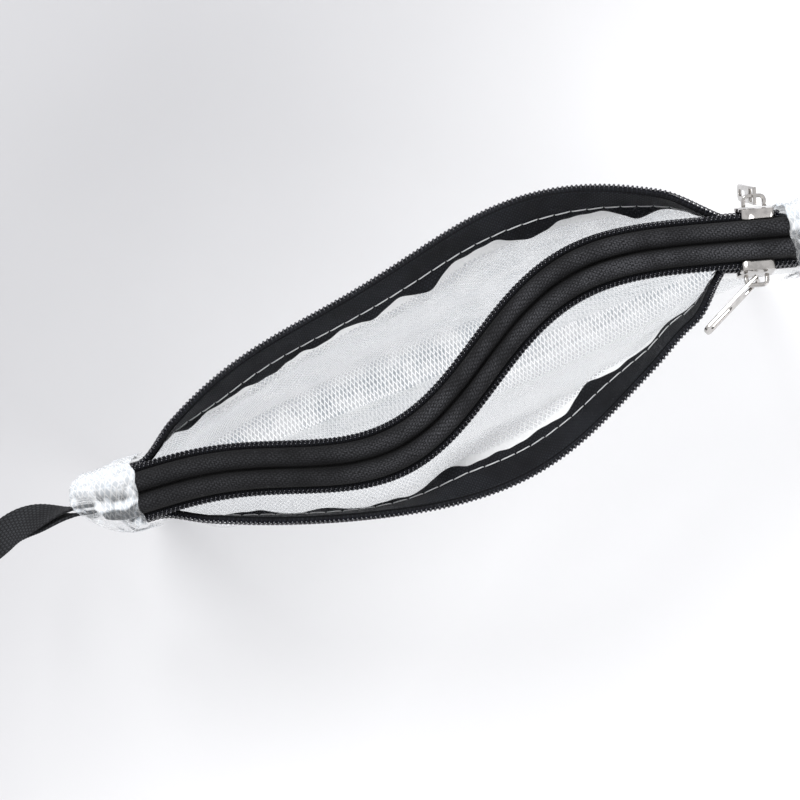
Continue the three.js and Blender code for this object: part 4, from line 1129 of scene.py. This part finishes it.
def crumpled(grid, size, height, seed):
    """Moves the points of a grid along its normals by a cell pattern, as crushed film."""
    shift = np.zeros(grid.shape[:2])
    for i in range(grid.shape[0]):
        for j in range(grid.shape[1]):
            p = Vector(grid[i, j] / size) + Vector((seed, 2.0 * seed, 0.5))
            p += 0.35 * noise.noise_vector(p * 0.8)
            near = noise.voronoi(p)[0]
            shift[i, j] = (min(near[1] - near[0], 0.5) - 0.3) * 1.7 + 0.4 * noise.noise(p * 0.7)
    return grid + surface_normals(grid) * (height * np.maximum(shift, -0.35))[..., None]


# %% Two crushed caps
CAP_POINTS, CAP_SPAN = 140, 92


def end_cap(name, sign, start, skew, seed):
    """The cap at one end. Its ragged rim runs across the pouch at start, slanted by skew."""
    t = np.linspace(0, 1, 84)
    x = sign * (start + (HALF - 0.04 - start) * (1 - (1 - t) ** 1.7))
    x = x if sign > 0 else x[::-1]
    lines = np.concatenate([cap_half(x, BACK), cap_half(x, FRONT)[:, ::-1]], 1)
    rows = rounded(np.stack([evened(line, CAP_POINTS) for line in lines]))
    grid = as_grid(x[:, None], rows[..., 0], rows[..., 1])
    walked = np.linspace(0, CAP_SPAN, CAP_POINTS)
    places = as_grid(x[:, None], walked + MAP_BELOW_HEM)
    near_start = 1 - smooth(np.abs(x), start, start + 9)
    slant = skew * np.tanh(rows[..., 0] / 8)
    ragged = slant + ripple(walked[None], 0, [(23, 1, seed, 0.5), (9.1, 1, 1.0, 0.3)])
    grid[..., 0] -= sign * near_start[:, None] * ragged
    grid = crumpled(grid, size=6.5, height=1.5, seed=seed)
    grid = crumpled(grid, size=2.4, height=0.45, seed=seed + 5)
    if sign < 0:
        grid = leaned(grid)
    return thick_sheet(name, grid, places, CAP_FILM, cap_film, flipped=True)


left_cap = end_cap("left_cap_film", -1, start=HALF_ZIP - 7.6, skew=1.3, seed=3.0)
right_cap = end_cap("right_cap_film", 1, start=HALF_ZIP - 4.6, skew=-1.5, seed=8.0)

# %% Side bindings: film folded over each side seam
def side_binding(name, sign):
    z = np.linspace(0.7, SKIRT_FOOT - GAP - FILM - 0.1, 130)[:, None]
    reach, bend = 1.84, 1.2
    edge = HALF + GAP + FILM / 2
    straight = np.linspace(SEAM_START + 0.6, edge - bend, 10)
    angle = np.radians(np.linspace(0, 90, 7)[1:])
    near = [(px, reach) for px in straight]
    near += [(edge - bend + bend * math.sin(a), reach - bend + bend * math.cos(a)) for a in angle]
    line = np.array(near + [(px, -py) for px, py in near[::-1]])
    wavy = 1 + 0.05 * np.sin(z / 9.0 + sign) + 0.03 * np.sin(z / 3.7)
    grid = as_grid(sign * line[:, 0], line[:, 1] * wavy * sign, z)
    places = as_grid(z, walked_along(line) + MAP_BELOW_HEM)
    return thick_sheet(name, grid, places, BINDING_FILM, cap_film, flipped=True)


bindings = {f"{end}_side_binding": side_binding(f"{end}_binding_film", sign)
            for end, sign in (("left", -1), ("right", 1))}

# %% [markdown]
# The wrist strap.
# It is one length of flat webbing, doubled. Both layers are sewn upright under the left cap, turn
# level just outside it, and hang down as a loop. Webbing is a flat woven ribbon, so it is swept as a
# rounded strip: at each step a section is placed across the route, and the section swells a little
# at each weft yarn. The loop is modelled directly, because it keeps its flat shape as it swings.

# %% Strip of webbing along a route
STRAP_WIDTH, STRAP, LAYERS_APART = 10.0, 1.2, 1.0
LAYER_OFFSET = (STRAP + LAYERS_APART) / 2
LOOP_THICKNESS = STRAP * 2 + LAYERS_APART
STRAP_HEIGHT, LEAD_REACH = CHAIN_HEIGHT - 7, 26
STRAP_EXIT = np.array([-HALF, -(FILM_TO_FILM + FILM / 2 + GAP + LOOP_THICKNESS / 2), STRAP_HEIGHT])
STRAP_HINGE = np.array([-HALF - LEAD_REACH, 4.0, STRAP_HEIGHT])
RIB = 1.25
TAIL_STEPS, LEAD_STEPS, LOOP_STEPS = 9, 63, 300


def curved(points, count):
    """Evenly spaced points of a cubic curve."""
    weights = cubic_weights(np.linspace(0, 1, 400)[:, None])
    return evened(sum(p * w for p, w in zip(points, weights)), count)


def strip_axes(way, turn):
    """The width way and the thickness way of a strip that runs along way, turned about it."""
    width = np.array([0.0, 1.0, 0.0]) - way * way[1]
    width /= np.linalg.norm(width)
    width = width * math.cos(turn) + np.cross(way, width) * math.sin(turn)
    return width, np.cross(width, way)


def layer_stops(line, ways, turns, upper):
    """Centre, width way and thickness way of one layer at each step of a route."""
    stops = []
    for point, way, turn in zip(line, ways, turns):
        width, normal = strip_axes(way, turn)
        out = normal if upper else -normal
        stops.append((point + out * LAYER_OFFSET, width, out))
    return stops


def fold_stops(point, way):
    """The turn at the end of the loop, from one layer into the other."""
    width, normal = strip_axes(way, 0.0)
    stops = []
    for a in np.linspace(0, math.pi, 9)[1:-1]:
        out = normal * math.cos(a) + way * math.sin(a)
        stops.append((point + out * LAYER_OFFSET, width, out))
    return stops


def section():
    """The outline of the flat strip with its round edges, as (across, thick) pairs."""
    angle = np.linspace(0, 2 * math.pi, 20, endpoint=False)
    c, s = np.cos(angle), np.sin(angle)
    w = np.sign(c) * np.abs(c) ** 0.55 * (STRAP_WIDTH / 2)
    return np.stack([w, np.sign(s) * np.abs(s) ** 0.45 * (STRAP / 2)], 1)


def webbing_strip(name, stops):
    walked = walked_along(np.array([stop[0] for stop in stops]))
    outline = section()
    verts, places = [], []
    for (centre, width, out), far in zip(stops, walked):
        swell = 0.92 + 0.08 * math.sin(2 * math.pi * far / RIB)
        for w, t in outline:
            pulled = 1 - 0.015 * math.sin(4 * math.pi * far / RIB + (1.6 if w > 0 else 0))
            verts.append(centre + width * w * pulled + out * t * swell)
            places.append((far, w + 6))
    faces = tube_faces(len(stops), len(outline))
    print(name, len(faces), "faces, route", round(walked[-1]), "mm")
    return link(closed_mesh(name, verts, faces, places), strap_cloth)


# %% Sewn ends with their twist, going on into the free loop
UNDER_CAP = 5.0
tail = leaned(STRAP_EXIT + [UNDER_CAP, 0, 0])
strap_exit = leaned(STRAP_EXIT)
lead = curved([strap_exit, strap_exit + [-8, 0.6, 0], STRAP_HINGE + [9, 3.6, 0], STRAP_HINGE], LEAD_STEPS + 1)
drops = [STRAP_HINGE + step for step in ([-14, -5.6, 0], [-16, 1, -26], [-12, 3.5, -92])]
loop_line = curved([STRAP_HINGE, *drops], LOOP_STEPS)
sewn_end = np.linspace(tail, strap_exit, TAIL_STEPS + 1)[:-1]
line = np.concatenate([sewn_end, lead[:-1], loop_line])
ways = along_line(line)
untwisting = math.pi / 2 * (1 - smooth(np.linspace(0, 1, LEAD_STEPS), 0.0, 0.95))
turns = np.concatenate([np.full(TAIL_STEPS, math.pi / 2), untwisting, np.zeros(LOOP_STEPS)])
strap_stops = layer_stops(line, ways, turns, True)
strap_stops += fold_stops(line[-1], ways[-1])
strap_stops += layer_stops(line, ways, turns, False)[::-1]
strap = webbing_strip("wrist_strap_webbing", strap_stops)

# %% [markdown]
# What moves with what.
# Every piece but the strap rides on a body of the model and hides the node that it stands for, where it stands
# for one. The strap is fixed in place, with its nodes hidden. Only the sliders and their pulls ride bodies of
# their own, so only they move.

# %% Ride and replace
def join_model(piece, body, slot, *nodes):
    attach(piece, body)
    if nodes:
        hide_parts(*nodes)


join_model(outer_film, "pouch", "net_film", "outer_film")
join_model(divider_film, "pouch", "net_film", "divider_film")
for node, piece in tapes.items():
    join_model(piece, "pouch", "zipper_tape", node)
for node, piece in coils.items():
    if node.endswith("_lock"):
        join_model(piece, "pouch", "zipper_tape")
    else:
        join_model(piece, "pouch", "zipper_coil", node)
for piece in seams:
    join_model(piece, "pouch", "zipper_tape")
for node, piece in bindings.items():
    join_model(piece, "pouch", "clear_film", node)
join_model(left_cap, "pouch", "clear_film", "left_end_cap")
join_model(right_cap, "pouch", "clear_film", "right_end_cap")
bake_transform(strap)
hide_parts("strap_root", "wrist_strap")
for node, piece in hard_pieces.items():
    side = node.split("_")[0]
    join_model(piece, side + ("_pull" if "pull" in node else "_slider"), "slider_metal", node)
